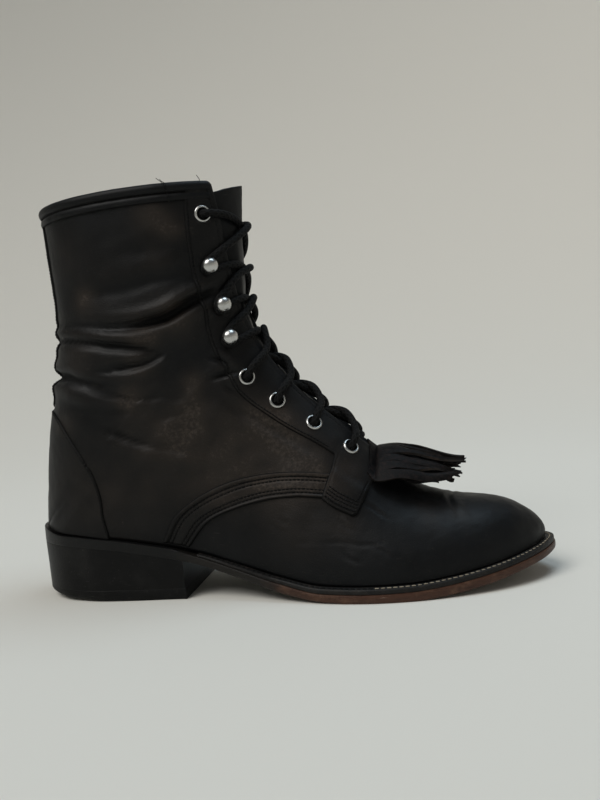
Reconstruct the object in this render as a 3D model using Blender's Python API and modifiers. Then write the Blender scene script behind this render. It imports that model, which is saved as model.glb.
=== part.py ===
"""Lace-up western boot for the right foot: a lasted leather upper on a welted sole with a stacked heel.

The toe points along +X, the outer side of the foot is -Y, and the boot stands on Z = 0.
"""
import math

import bmesh
import bpy
import numpy as np
from mathutils import Matrix, Vector

MM = 0.001              # the sizes and tables below are in millimetres
GAP = 0.3               # clearance between pieces that touch
CURVED_GAP = 0.75       # the same where both pieces are curved
OVERLAY_GAP = 0.9       # the same under leather that covers much of the upper
WALL = 2.0              # upper leather with its lining
OVERLAY = 1.0           # leather sewn on the outside of the upper
WELT_THICK = 2.4        # welt at the forefoot
WELT_TAIL = 1.0         # welt where it runs out at the heel
WELT_FULL_X = 15.0      # ahead of this the welt has its full thickness
WELT_END_X = -44.0      # tail of the welt, just ahead of the heel
WELT_INSET = 0.6        # welt edge behind the sole edge
SEAT_START_X = -58.0    # behind this the upper stands straight on the outsole
INSOLE_THICK = 3.5
INSOLE_PLAY = 1.8       # room between the insole and the wall
LIFT_THICK = 6.0        # rubber top lift under the heel
HEEL_INSET = 0.5        # heel block behind the sole edge, and its lift a little more
LIFT_INSET = 0.8
BREAST_X = -52.0        # front face of the heel
LEDGE_HEEL = 3.2        # sole edge beyond the upper, at the heel and at the forefoot
LEDGE_TOE = 5.2
LEDGE_GROWS = (0.2, 0.55)   # shares of the way from heel to toe between which it widens
OUTER, INNER = -1, 1    # sides of the foot, as signs of Y

# Sole edge seen from below, from the back of the heel to the tip of the toe
SOLE_PLAN = [  # x, to the outer side, to the inner side
    (-140.8, 0.0, 0.0),
    (-135.9, 15.5, 15.5),
    (-124.1, 26.5, 26.5),
    (-104.6, 32.5, 32.0),
    (-80.0, 33.5, 32.0),
    (-52.0, 33.0, 29.5),
    (-25.0, 35.5, 27.0),
    (0.0, 42.0, 30.5),
    (25.0, 48.0, 39.5),
    (48.0, 50.0, 46.0),
    (70.0, 47.8, 48.5),
    (92.0, 42.0, 46.5),
    (112.0, 33.5, 40.0),
    (127.0, 23.0, 30.5),
    (137.5, 10.5, 18.0),
    (142.4, -3.5, 3.5),
]

# Sole seen from the side: heel seat, arch, flat tread and toe spring
SOLE_SIDE = [  # x, underside, top where the upper stands
    (-142.0, 31.4, 36.6),
    (-120.0, 30.6, 35.8),
    (-92.0, 28.2, 33.2),
    (-65.0, 23.4, 28.6),
    (-45.0, 18.8, 24.2),
    (-23.0, 11.8, 17.6),
    (3.0, 3.8, 10.8),
    (22.0, 0.0, 7.4),
    (44.0, 0.0, 6.9),
    (66.0, 0.0, 7.2),
    (86.0, 1.6, 8.9),
    (106.0, 4.6, 11.8),
    (125.0, 8.6, 15.4),
    (142.4, 12.3, 18.9),
]

# Sections of the foot, from the tip of the toe to the back of the heel: each springs from the sole edge
# on both sides and closes at a point on the ridge; rise is how far it stands up straight from the sole,
# crown how far it runs level over the ridge
FOOT_SECTIONS = [  # base x, ridge x, ridge z, ridge y, rise, crown
    (140.0, 137.2, 18.2, 3.0, 0.0, 0.0),
    (136.4, 137.3, 22.6, 3.0, 2.6, 3.6),
    (133.0, 135.2, 27.4, 3.0, 5.2, 7.2),
    (126.5, 129.8, 32.6, 3.2, 9.2, 11.0),
    (114.5, 119.8, 38.4, 3.6, 14.5, 15.5),
    (100.0, 108.5, 41.2, 4.0, 18.0, 19.5),
    (84.0, 96.5, 42.4, 4.4, 20.5, 22.5),
    (67.0, 84.0, 45.0, 4.6, 23.0, 23.5),
    (50.0, 72.0, 49.6, 4.6, 26.0, 23.5),
    (34.0, 61.0, 57.5, 4.4, 29.0, 22.5),
    (17.0, 51.0, 69.0, 4.0, 33.0, 22.5),
    (-5.0, 35.0, 85.5, 3.2, 38.0, 25.0),
    (-31.0, 17.4, 101.2, 2.4, 43.0, 28.0),
    (-58.0, 3.6, 117.4, 1.6, 48.0, 30.0),
    (-86.0, -7.2, 133.6, 1.0, 52.0, 34.0),
    (-112.0, -11.8, 146.0, 0.5, 42.5, 37.5),
    (-128.0, -13.6, 154.0, 0.2, 37.6, 39.0),
    (-138.6, -14.2, 160.5, 0.0, 47.0, 40.5),
]

# Sections of the heel counter and the shaft, up to the collar, each a loop round the leg
SHAFT_SECTIONS = [  # back x, back z, front x, front z, back roundness, front roundness
    (-136.0, 53.0, -14.6, 166.5, 47.0, 42.0),
    (-132.0, 86.0, -14.8, 178.0, 46.5, 43.5),
    (-126.2, 114.0, -14.6, 189.0, 45.5, 44.5),
    (-121.2, 148.0, -14.0, 199.0, 45.5, 45.0),
    (-123.0, 181.5, -13.4, 208.0, 46.0, 45.5),
    (-125.2, 212.6, -12.8, 216.8, 46.5, 46.0),
]
UPPER_COLUMNS = 9       # facets of the upper from the sole to the centre front
TOE_ROW = 0.0
HEEL_ROW = float(len(FOOT_SECTIONS) - 1)
COLLAR_ROW = HEEL_ROW + len(SHAFT_SECTIONS)
THROAT_ROW = 10.0       # foot of the lace opening

# Sections at which the upper is built, closer together at the throat and round the heel
UPPER_ROWS = [0.5 * k for k in range(21)] + [10.12, 10.3, 10.55] + [11.0 + 0.5 * k for k in range(9)]
UPPER_ROWS += [15.3 + 0.34 * k for k in range(5)] + [HEEL_ROW + 0.75 * k for k in range(9)]

# Half width of the lace opening, along the surface from the centre front
THROAT_GAP = [  # section, half gap
    (10.0, 0.0),
    (10.12, 4.5),
    (10.5, 7.0),
    (14.5, 7.0),
    (16.0, 8.5),
    (18.0, 11.0),
    (20.0, 17.0),
    (21.7, 20.2),
    (COLLAR_ROW, 24.0),
]

# Lace fastenings seen from the outer side, bottom pair first
FASTENINGS = [  # x, z, kind
    (38.5, 72.9, "eyelet"),
    (20.3, 87.1, "eyelet"),
    (2.1, 100.5, "eyelet"),
    (-12.8, 114.2, "eyelet"),
    (-21.6, 134.8, "hook"),
    (-25.0, 153.2, "hook"),
    (-28.6, 173.5, "hook"),
    (-28.4, 200.6, "eyelet"),
]
EYELET_OUTER = 4.5      # radii and height of an eyelet
EYELET_INNER = 3.1
EYELET_HEIGHT = 0.9
HOOK_BASE = 4.7         # radii of a hook's base, stem and ball
HOOK_STEM = 1.6
HOOK_BALL = 4.2
HOOK_CENTRE = 4.4       # ball centre above the base
HOOK_PLAY = 1.8         # room between a hook and the lace in front of it
TURNED_STEPS = 9        # facets round an eyelet or hook
LACE_RADIUS = 1.8
LACE_CROSSING = 3.6     # lace axis over the face of the upper at a crossing
LACE_BEND = 2.25        # half the distance between the strands beside a fastening
FASTENING_SEAT = OVERLAY_GAP + OVERLAY + CURVED_GAP   # foot of an eyelet or hook over the upper's face

TAB_ENDS = (10.72, 10.82)
EYESTAY_WIDTHS = [  # section, leather along the lace opening; its foot reaches down over the quarter band
    (TAB_ENDS[0], 45.0),
    (TAB_ENDS[1], 21.0),
    (11.6, 22.6),
    (12.6, 26.0),
    (13.6, 29.5),
    (15.0, 28.5),
    (17.5, 25.0),
    (19.5, 23.2),
    (21.7, 19.0),
    (COLLAR_ROW, 14.0),
]
EYESTAY_ROWS = [10.05, 10.2, 10.4, TAB_ENDS[0], 0.5 * sum(TAB_ENDS), TAB_ENDS[1], 11.2]
EYESTAY_ROWS += [12.0 + 0.75 * k for k in range(15)]
EYESTAY_TRIM_ROW = 19.0 # above this its sections spread evenly up to the collar binding
FOOT_LEAD = 0.38        # sections by which the tab's front edge runs ahead towards its end
FOOT_LEAD_REACH = 22.5  # leather from the lace opening over which it grows
OVERLAY_PLAY = 0.6      # between the edges of two overlays
BINDING_DROP = 8.0      # collar binding outside and inside
BINDING_INSIDE = 6.0
BINDING_THICK = 1.1
TONGUE_THICK = 1.8
TONGUE_ROWS = [9.3, 9.7, 10.1, 10.6, 11.2, 12.0, 13.0, 14.0, 15.0, 16.2, 17.5, 19.0, 20.5, 21.8, 22.9]
BACKSTAY_HALF = 15.0    # strip up the back of the shaft

# Tongue along the surface: under the facings it lies deeper than between them
TONGUE = [  # section, half width, depth under the facings, depth between them
    (9.3, 17.0, 2.7, 2.7),
    (10.1, 20.5, 2.75, 2.75),
    (11.5, 26.5, 3.35, 1.0),
    (13.0, 33.0, 4.0, 1.0),
    (COLLAR_ROW, 33.0, 4.0, 1.0),
]

# Raised band over the quarter, from the sole at the heel to the eyestay, outer side view
QUARTER_BAND = [  # upper edge x, z, lower edge x, z
    (-63.0, 30.4, -48.6, 27.2),
    (-55.7, 43.8, -37.1, 39.8),
    (-41.9, 53.6, -21.8, 46.2),
    (-25.0, 60.5, -3.6, 50.3),
    (-7.0, 63.6, 9.5, 51.2),
    (10.0, 63.9, 15.0, 51.0),
    (23.0, 62.4, 19.0, 50.4),
]

# Front seam of the heel counter, from the sole up to the back of the heel
COUNTER_SEAM = [  # x, z
    (-91.8, 34.0),
    (-94.0, 45.0),
    (-94.6, 56.0),
    (-96.8, 66.0),
    (-101.2, 75.5),
    (-109.2, 87.5),
    (-119.0, 100.0),
    (-127.2, 104.5),
]
COUNTER_TOP_Z = 105.5

# Fringe over the vamp, from the throat to the tips
KILTIE_SECTIONS = [  # x, z at the middle, half width, drop of the edges
    (53.5, 70.6, 24.5, 15.5),
    (62.0, 71.0, 25.0, 15.2),
    (70.5, 69.0, 24.6, 14.0),
    (79.0, 66.2, 23.8, 12.2),
    (88.5, 63.4, 22.5, 9.8),
    (98.5, 60.2, 21.0, 7.5),
]
KILTIE_STRIPS = 11
KILTIE_THICK = 1.3
KILTIE_ROOT_HALF = 23.5
KILTIE_ROOT_ROW = 9.88  # sewn to the vamp here
KILTIE_SEAT = 0.95      # its root over the upper's face
KILTIE_MIDDLE_Y = 3.0
KILTIE_LIFT = 1.3       # how far single strips stand up or down at their tips
KILTIE_RAGGED = 3.0     # how much shorter single strips are
KILTIE_ROUNDED = 5.0    # how much shorter the outermost strips are
KILTIE_SLIT = 0.9       # gap between two strips
KILTIE_SOLID_ROWS = 2   # rows from the throat that stay uncut

LEATHER = ((0.016, 0.015, 0.015), 0.42, 0.0)
WORN_LEATHER = ((0.024, 0.021, 0.019), 0.5, 0.0)
SOLE_LEATHER = ((0.085, 0.036, 0.022), 0.5, 0.0)
HEEL_BLACK = ((0.012, 0.012, 0.012), 0.38, 0.0)
RUBBER = ((0.018, 0.018, 0.018), 0.62, 0.0)
LINING = ((0.09, 0.065, 0.045), 0.75, 0.0)
NICKEL = ((0.62, 0.61, 0.58), 0.24, 1.0)
CORD = ((0.012, 0.012, 0.013), 0.8, 0.0)


def hermite(knots, values, at, flat=False):
    """Smooth curve through the values; flat keeps level stretches level."""
    knots = np.asarray(knots, float)
    values = np.asarray(values, float)
    steps = np.diff(knots)
    secants = np.diff(values) / steps
    slopes = np.concatenate([secants[:1], np.zeros(len(knots) - 2), secants[-1:]])
    before, after = secants[:-1], secants[1:]
    if flat:
        level = before * after <= 0.0
        total = np.where(level, 1.0, before + after)
        slopes[1:-1] = np.where(level, 0.0, 2.0 * before * after / total)
    else:
        slopes[1:-1] = (before * steps[1:] + after * steps[:-1]) / (steps[1:] + steps[:-1])
    at = np.clip(np.asarray(at, float), knots[0], knots[-1])
    k = np.clip(np.searchsorted(knots, at, side="right") - 1, 0, len(steps) - 1)
    u = (at - knots[k]) / steps[k]
    return ((1 + 2 * u) * (1 - u) ** 2 * values[k] + u * (1 - u) ** 2 * steps[k] * slopes[k]
            + u * u * (3 - 2 * u) * values[k + 1] + u * u * (u - 1) * steps[k] * slopes[k + 1])


def unit(vector):
    return vector / np.linalg.norm(vector)


def half_edges():
    """Both halves of the sole edge, heel to toe, each as evenly spaced points with outward normals."""
    outer = [(x, -to_outer) for x, to_outer, _ in SOLE_PLAN]
    inner = [(x, to_inner) for x, _, to_inner in SOLE_PLAN]
    halves = {}
    for side, near, far in ((OUTER, outer, inner), (INNER, inner, outer)):
        ring = np.array([far[2], far[1]] + near + [far[-2], far[-3]])
        chord = np.concatenate([[0.0], np.cumsum(np.linalg.norm(np.diff(ring, axis=0), axis=1))])
        dense = np.linspace(chord[2], chord[-3], 1201)
        path = np.stack([hermite(chord, ring[:, 0], dense), hermite(chord, ring[:, 1], dense)], axis=1)
        length = np.concatenate([[0.0], np.cumsum(np.linalg.norm(np.diff(path, axis=0), axis=1))])
        tangent = np.gradient(path, axis=0)
        normal = np.stack([tangent[:, 1], -tangent[:, 0]], axis=1) * -side
        normal /= np.linalg.norm(normal, axis=1)[:, None]
        normal[0], normal[-1] = (-1.0, 0.0), (1.0, 0.0)
        halves[side] = (length / length[-1], path, normal)
    return halves


EDGES = half_edges()


def edge_point(side, s, inset):
    """Plan point and outward normal at share s of the way from heel to toe, inset from the sole edge."""
    share, path, normal = EDGES[side]
    n = np.array([np.interp(s, share, normal[:, 0]), np.interp(s, share, normal[:, 1])])
    n = unit(n)
    p = np.array([np.interp(s, share, path[:, 0]), np.interp(s, share, path[:, 1])])
    return p - inset * n, n


def edge_share(side, x, inset=0.0):
    """Share of the half edge at which the inset outline reaches x."""
    shares = EDGES[side][0]
    xs = EDGES[side][1][:, 0] - inset * EDGES[side][2][:, 0]
    return float(np.interp(x, xs, shares))


def ledge(s):
    """Width of the sole beyond the upper, growing from heel to forefoot."""
    return float(np.interp(s, LEDGE_GROWS, (LEDGE_HEEL, LEDGE_TOE)))


SIDE_X, SIDE_UNDER, SIDE_TOP = (np.array(column) for column in zip(*SOLE_SIDE))


def sole_under(x):
    return float(hermite(SIDE_X, SIDE_UNDER, x, flat=True))


def seat(x):
    return float(hermite(SIDE_X, SIDE_TOP, x, flat=True))


def welt_thick(x):
    return float(np.interp(x, [WELT_END_X, WELT_FULL_X], [WELT_TAIL, WELT_THICK]))


def outsole_top(x):
    """Top of the outsole: under the welt at the forefoot, straight under the upper at the heel."""
    drop = np.interp(x, [SEAT_START_X, WELT_END_X - 2.0], [0.0, 1.0])
    return seat(x) - drop * (welt_thick(x) + GAP)


def section_columns():
    """Columns of the section tables as arrays over the section number."""
    base_x, ridge_x, ridge_z, ridge_y, rise, crown = (np.array(c) for c in zip(*FOOT_SECTIONS))
    back_x, back_z, front_x, front_z, back_round, front_round = (np.array(c) for c in zip(*SHAFT_SECTIONS))
    columns = {"row": np.arange(COLLAR_ROW + 1.0)}
    for side in (OUTER, INNER):
        toe_share = [edge_share(side, x, LEDGE_TOE if x > 0.0 else LEDGE_HEEL) for x in base_x]
        columns[side] = np.concatenate([toe_share, np.zeros(len(back_x))])
    columns["front_x"] = np.concatenate([ridge_x, front_x])
    columns["front_z"] = np.concatenate([ridge_z, front_z])
    columns["front_y"] = np.concatenate([ridge_y, np.zeros(len(back_x))])
    columns["rise"] = np.concatenate([rise, back_round])
    columns["crown"] = np.concatenate([crown, front_round])
    heel, _ = edge_point(OUTER, 0.0, LEDGE_HEEL)
    columns["back_row"] = columns["row"][int(HEEL_ROW):]
    columns["back_x"] = np.concatenate([[heel[0]], back_x])
    columns["back_z"] = np.concatenate([[seat(heel[0]) + GAP], back_z])
    return columns


COLUMNS = section_columns()


def controls(row, side):
    """Bezier points of a section on one side, from the sole edge or the heel to the centre front."""
    row = min(max(row, TOE_ROW), COLLAR_ROW)

    def column(name):
        return float(hermite(COLUMNS["row"], COLUMNS[name], row))

    if row <= HEEL_ROW:
        share = min(max(column(side), 0.0), 1.0)
        plan, normal = edge_point(side, share, ledge(share))
        base = np.array([plan[0], plan[1], seat(plan[0]) + GAP])
    else:
        back_x = float(hermite(COLUMNS["back_row"], COLUMNS["back_x"], row))
        back_z = float(hermite(COLUMNS["back_row"], COLUMNS["back_z"], row))
        base, normal = np.array([back_x, 0.0, back_z]), np.array([-1.0, 0.0])
    front = np.array([column("front_x"), column("front_y"), column("front_z")])
    if row == TOE_ROW:
        front = base.copy()
    across = np.array([0.0, float(side), 0.0])
    climb = front - base
    climb[1] = 0.0
    climb = climb / max(np.linalg.norm(climb), 1e-6)
    start = abs(normal[1]) * climb - climb[0] * normal[0] * across
    start = start / max(np.linalg.norm(start), 1e-6)
    return np.array([base, base + column("rise") * start, front + column("crown") * across, front])


def bezier(points, t):
    t = np.atleast_1d(np.asarray(t, float))[:, None]
    u = 1.0 - t
    return u ** 3 * points[0] + 3 * u * u * t * points[1] + 3 * u * t * t * points[2] + t ** 3 * points[3]


def upper_point(row, side, t):
    return bezier(controls(row, side), t)[0]


def side_normal(row, side, t):
    """Outward normal of one side of the upper."""
    low, high = max(row - 0.03, 0.3), min(max(row + 0.03, 0.36), COLLAR_ROW)
    near, far = max(t - 0.01, 0.0), min(t + 0.01, 1.0)
    along = upper_point(high, side, t) - upper_point(low, side, t)
    middle = controls(row, side)
    around = bezier(middle, far)[0] - bezier(middle, near)[0]
    return unit(np.cross(along, around) * side)


def upper_normal(row, side, t):
    """Outward normal, shared by both sides where they meet at the ridge and up the back."""
    if t > 0.995 or (t < 0.005 and row >= HEEL_ROW):
        return unit(side_normal(row, OUTER, t) + side_normal(row, INNER, t))
    return side_normal(row, side, t)


def offset_point(row, side, t, out):
    return upper_point(row, side, t) + out * upper_normal(row, side, t)


def t_from_front(row, side, distance):
    """Place on a section at a distance along the leather from the centre front."""
    ts = np.linspace(1.0, 0.0, 161)
    path = bezier(controls(row, side), ts)
    length = np.concatenate([[0.0], np.cumsum(np.linalg.norm(np.diff(path, axis=0), axis=1))])
    return float(np.interp(distance, length, ts))


def t_from_back(row, side, distance):
    """Place on a section at a distance along the leather from its base."""
    ts = np.linspace(0.0, 1.0, 161)
    path = bezier(controls(row, side), ts)
    length = np.concatenate([[0.0], np.cumsum(np.linalg.norm(np.diff(path, axis=0), axis=1))])
    return float(np.interp(distance, length, ts))


def throat_gap(row):
    rows, gaps = zip(*THROAT_GAP)
    return float(np.interp(row, rows, gaps)) if row >= THROAT_ROW else 0.0


LOOKUP_ROWS = np.linspace(0.5, COLLAR_ROW, 150)
LOOKUP_TS = np.linspace(0.0, 1.0, 61)
LOOKUP = np.array([bezier(controls(row, OUTER), LOOKUP_TS) for row in LOOKUP_ROWS])


def find_on_upper(x, z):
    """Section number and place on it of a point given in the outer side view."""
    miss = (LOOKUP[:, :, 0] - x) ** 2 + (LOOKUP[:, :, 2] - z) ** 2
    i, j = np.unravel_index(np.argmin(miss), miss.shape)
    spot = np.array([LOOKUP_ROWS[i], LOOKUP_TS[j]])
    for _ in range(8):
        here = upper_point(spot[0], OUTER, spot[1])
        by_row = upper_point(spot[0] + 0.01, OUTER, spot[1]) - here
        by_t = upper_point(spot[0], OUTER, spot[1] + 0.002) - here
        jacobian = np.array([[by_row[0] / 0.01, by_t[0] / 0.002], [by_row[2] / 0.01, by_t[2] / 0.002]])
        step = np.linalg.lstsq(jacobian, np.array([x - here[0], z - here[2]]), rcond=None)[0]
        spot = spot + np.clip(step, (-0.5, -0.05), (0.5, 0.05))
        spot = np.clip(spot, (0.3, 0.0), (COLLAR_ROW, 1.0))
    return float(spot[0]), float(spot[1])


def material(name, finish):
    colour, roughness, metallic = finish
    made = bpy.data.materials.new(name)
    made.use_nodes = True
    shader = made.node_tree.nodes["Principled BSDF"]
    shader.inputs["Base Color"].default_value = (*colour, 1.0)
    shader.inputs["Roughness"].default_value = roughness
    shader.inputs["Metallic"].default_value = metallic
    return made


def add_part(name, mesh, finish):
    part = bpy.data.objects.new(name, mesh)
    bpy.data.collections["lace_up_western_boot"].objects.link(part)
    mesh.materials.append(material(name, finish))
    mesh.shade_smooth()
    mesh.set_sharp_from_angle(angle=math.radians(40.0))
    return part


def sheet_mesh(name, grids):
    """Open surface from grids of points, joined where their edges meet; turned grids face the other way."""
    bm = bmesh.new()
    for grid, turned in grids:
        verts = [[bm.verts.new(Vector(p) * MM) for p in line] for line in grid]
        for i in range(len(verts) - 1):
            for j in range(len(verts[0]) - 1):
                ring = [verts[i][j], verts[i + 1][j], verts[i + 1][j + 1], verts[i][j + 1]]
                bm.faces.new(ring[::-1] if turned else ring)
    bmesh.ops.remove_doubles(bm, verts=bm.verts, dist=0.01 * MM)
    mesh = bpy.data.meshes.new(name)
    bm.to_mesh(mesh)
    bm.free()
    return mesh


def thicken(part, thickness, outward):
    """Wall of real thickness, grown outwards or inwards from the surface."""
    wall = part.modifiers.new("Solidify", "SOLIDIFY")
    wall.thickness = thickness * MM
    wall.offset = 1.0 if outward else -1.0
    wall.use_quality_normals = True
    return part


def loft_mesh(name, stations):
    """Closed body through polygons of equal count, flat at both ends."""
    bm = bmesh.new()
    rings = [[bm.verts.new(Vector(p) * MM) for p in station] for station in stations]
    count = len(rings[0])
    for first, second in zip(rings, rings[1:]):
        for k in range(count):
            after = (k + 1) % count
            bm.faces.new([first[k], first[after], second[after], second[k]])
    bm.faces.new(rings[0][::-1])
    bm.faces.new(rings[-1])
    bmesh.ops.remove_doubles(bm, verts=bm.verts, dist=0.01 * MM)
    bmesh.ops.recalc_face_normals(bm, faces=bm.faces)
    mesh = bpy.data.meshes.new(name)
    bm.to_mesh(mesh)
    bm.free()
    return mesh


def eased(count):
    """Shares from 0 to 1, closer together at both ends."""
    return [0.5 - 0.5 * math.cos(math.pi * k / count) for k in range(count + 1)]


def plate(name, finish, spans, inset, under, top):
    """Sole layer between two heights that follow x, through matching points on both edges."""
    stations = []
    for outer_share, inner_share in spans:
        x1, y1 = edge_point(OUTER, outer_share, inset(outer_share))[0]
        x2, y2 = edge_point(INNER, inner_share, inset(inner_share))[0]
        stations.append([(x1, y1, top(x1)), (x1, y1, under(x1)), (x2, y2, under(x2)), (x2, y2, top(x2))])
    return add_part(name, loft_mesh(name, stations), finish)


def make_outsole():
    plate("outsole", SOLE_LEATHER, [(s, s) for s in eased(44)], lambda s: 0.0, sole_under, outsole_top)


def make_heel():
    """Heel block and the rubber lift under it, cut straight at the breast."""
    ends = [edge_share(side, BREAST_X, HEEL_INSET) for side in (OUTER, INNER)]
    shares = [math.sin(0.5 * math.pi * k / 18) ** 1.5 for k in range(19)]
    spans = [(s * ends[0], s * ends[1]) for s in shares]
    plate("heel", HEEL_BLACK, spans, lambda s: HEEL_INSET,
          lambda x: LIFT_THICK + GAP, lambda x: sole_under(x) - GAP)
    plate("top_lift", RUBBER, spans, lambda s: LIFT_INSET, lambda x: 0.0, lambda x: LIFT_THICK)


def make_insole():
    plate("insole", LINING, [(s, s) for s in eased(30)], lambda s: ledge(s) + WALL + INSOLE_PLAY,
          lambda x: outsole_top(x) + CURVED_GAP, lambda x: outsole_top(x) + CURVED_GAP + INSOLE_THICK)


def make_welt():
    """Strip on the outsole that carries the upper, from the heel round the toe and back."""
    stations = []
    starts = {side: edge_share(side, WELT_END_X) for side in (OUTER, INNER)}
    shares = [math.sin(0.5 * math.pi * k / 22) for k in range(23)]
    path = [(OUTER, starts[OUTER] + (1.0 - starts[OUTER]) * s) for s in shares]
    path += [(INNER, starts[INNER] + (1.0 - starts[INNER]) * s) for s in shares[-2::-1]]
    for side, s in path:
        inner = ledge(s) + WALL + 0.4
        low, top = (lambda x: outsole_top(x) + GAP), seat
        ring = []
        for inset, height in ((WELT_INSET, low), (WELT_INSET, top), (inner, top), (inner, low)):
            x, y = edge_point(side, s, inset)[0]
            ring.append((x, y, height(x)))
        stations.append(ring)
    add_part("welt", loft_mesh("welt", stations), LEATHER)


def make_upper():
    """Vamp, quarters and shaft as one lasted wall, open at the collar, the throat and underneath."""
    grids = []
    for side in (OUTER, INNER):
        grid = []
        for row in UPPER_ROWS:
            edge = t_from_front(row, side, throat_gap(row))
            grid.append([upper_point(row, side, t) for t in np.linspace(0.0, edge, UPPER_COLUMNS + 1)])
        grids.append((grid, side == OUTER))
    thicken(add_part("upper", sheet_mesh("upper", grids), LEATHER), WALL, outward=False)


def make_tongue():
    """Tongue under the facings, standing up to the front between them."""
    sections = list(zip(*TONGUE))
    grids = []
    for side in (OUTER, INNER):
        grid = []
        for row in TONGUE_ROWS:
            half, tucked, shown = (float(np.interp(row, sections[0], column)) for column in sections[1:])
            line = []
            for share in np.linspace(1.0, 0.0, 5):
                distance = share * half
                gap = throat_gap(row)
                hidden = float(np.interp(distance, [0.35 * gap, gap + 1e-3], [0.0, 1.0]))
                inward = shown + (tucked - shown) * hidden * hidden * (3.0 - 2.0 * hidden)
                line.append(offset_point(row, side, t_from_front(row, side, distance), -inward))
            grid.append(line)
        grids.append((grid, side == OUTER))
    thicken(add_part("tongue", sheet_mesh("tongue", grids), LEATHER), TONGUE_THICK, outward=False)


def below_collar(side, t, drop):
    """Section number at a distance below the collar."""
    step = np.linalg.norm(upper_point(COLLAR_ROW, side, t) - upper_point(COLLAR_ROW - 1.0, side, t))
    return COLLAR_ROW - drop / step


def foot_lead(distance):
    """Sections by which the foot of a facing lies ahead, at a distance from the lace opening."""
    return FOOT_LEAD * min(distance / FOOT_LEAD_REACH, 1.0)


def make_eyestays():
    """Facings along the lace opening, with a tab at the foot."""
    for side, label in ((OUTER, "outer"), (INNER, "inner")):
        grid = []
        for row in EYESTAY_ROWS:
            width = float(np.interp(row, *zip(*EYESTAY_WIDTHS)))
            foot = max(TAB_ENDS[0] - row, 0.0) / (TAB_ENDS[0] - EYESTAY_ROWS[0])
            line = []
            for share in np.linspace(0.0, 1.0, 5):
                distance = throat_gap(row) + OVERLAY_PLAY + share * width
                t = t_from_front(row, side, distance)
                top = below_collar(side, t, BINDING_DROP + OVERLAY_PLAY)
                ramp = max(row - EYESTAY_TRIM_ROW, 0.0) / (EYESTAY_ROWS[-1] - EYESTAY_TRIM_ROW)
                placed = row - foot * foot_lead(share * width)
                if ramp > 0.0:
                    placed = EYESTAY_TRIM_ROW + ramp * (top - EYESTAY_TRIM_ROW)
                line.append(offset_point(placed, side, t_from_front(placed, side, distance), OVERLAY_GAP))
            grid.append(line)
        name = "eyestay_" + label
        part = add_part(name, sheet_mesh(name, [(grid, side == INNER)]), WORN_LEATHER)
        thicken(part, OVERLAY, outward=True)


def make_collar_binding():
    """Folded strip over the top edge of the shaft."""
    lip = GAP + BINDING_THICK
    profile = [  # out from the upper's face, up from its edge
        (GAP, -BINDING_DROP), (lip, -BINDING_DROP), (lip + 0.2, -0.6), (lip - 0.5, 1.0), (-0.5 * WALL, 1.7),
        (-WALL - lip + 0.5, 1.0), (-WALL - lip, -0.6), (-WALL - lip, -BINDING_INSIDE),
        (-WALL - GAP, -BINDING_INSIDE), (-WALL - GAP, GAP), (GAP, GAP),
    ]
    stations = []
    for side in (OUTER, INNER):
        edge = t_from_front(COLLAR_ROW, side, throat_gap(COLLAR_ROW))
        ts = np.linspace(edge, 0.0, UPPER_COLUMNS + 1)
        for t in (ts if side == OUTER else ts[-2::-1]):
            top = upper_point(COLLAR_ROW, side, t)
            out = upper_normal(COLLAR_ROW, side, t)
            up = unit(top - upper_point(COLLAR_ROW - 0.5, side, t))
            up = unit(up - np.dot(up, out) * out)
            stations.append([top + n * out + u * up for n, u in profile])
    add_part("collar_binding", loft_mesh("collar_binding", stations), LEATHER)


def make_counter():
    """Heel counter, lying on the upper behind its curved front seam."""
    knots = np.arange(len(COUNTER_SEAM))
    seam_x, seam_z = zip(*COUNTER_SEAM)
    shares = np.linspace(0, knots[-1], 25)
    places = zip(hermite(knots, seam_x, shares), hermite(knots, seam_z, shares))
    seam = [find_on_upper(x, z) for x, z in places]
    foot_row = seam[0][0]
    top_row = float(np.interp(COUNTER_TOP_Z, COLUMNS["back_z"], COLUMNS["back_row"]))
    seam_rows = [row for row, _ in seam] + [top_row]
    seam_ts = [0.0] + [t for _, t in seam[1:]] + [0.0]
    pairs = zip(UPPER_ROWS, UPPER_ROWS[1:])
    between = [0.5 * (first + second) for first, second in pairs if first >= HEEL_ROW]
    rows = [row for row in sorted(UPPER_ROWS + between) if foot_row + 0.1 < row < top_row - 0.3]
    rows = [foot_row] + rows + [top_row - 0.22, top_row - 0.1, top_row]
    grids = []
    for side in (OUTER, INNER):
        grid = []
        for row in rows:
            end = float(np.interp(row, seam_rows, seam_ts))
            line = [offset_point(row, side, t, OVERLAY_GAP) for t in np.linspace(0.0, end, 6)]
            for p in line:
                p[2] = max(p[2], seat(p[0]) + 3.0 * GAP)
            grid.append(line)
        grids.append((grid, side == OUTER))
    thicken(add_part("counter", sheet_mesh("counter", grids), LEATHER), OVERLAY, outward=True)


def make_backstay():
    """Strip over the seam up the back of the shaft."""
    low = float(np.interp(COUNTER_TOP_Z + 1.0, COLUMNS["back_z"], COLUMNS["back_row"]))
    grids = []
    for side in (OUTER, INNER):
        grid = []
        for share in np.linspace(0.0, 1.0, 8):
            line = []
            for part_width in np.linspace(0.0, 1.0, 4):
                distance = part_width * BACKSTAY_HALF
                top = below_collar(side, t_from_back(COLLAR_ROW, side, distance), BINDING_DROP + OVERLAY_PLAY)
                row = low + share * (top - low)
                line.append(offset_point(row, side, t_from_back(row, side, distance), CURVED_GAP))
            grid.append(line)
        grids.append((grid, side == OUTER))
    thicken(add_part("backstay", sheet_mesh("backstay", grids), LEATHER), OVERLAY, outward=True)


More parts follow.
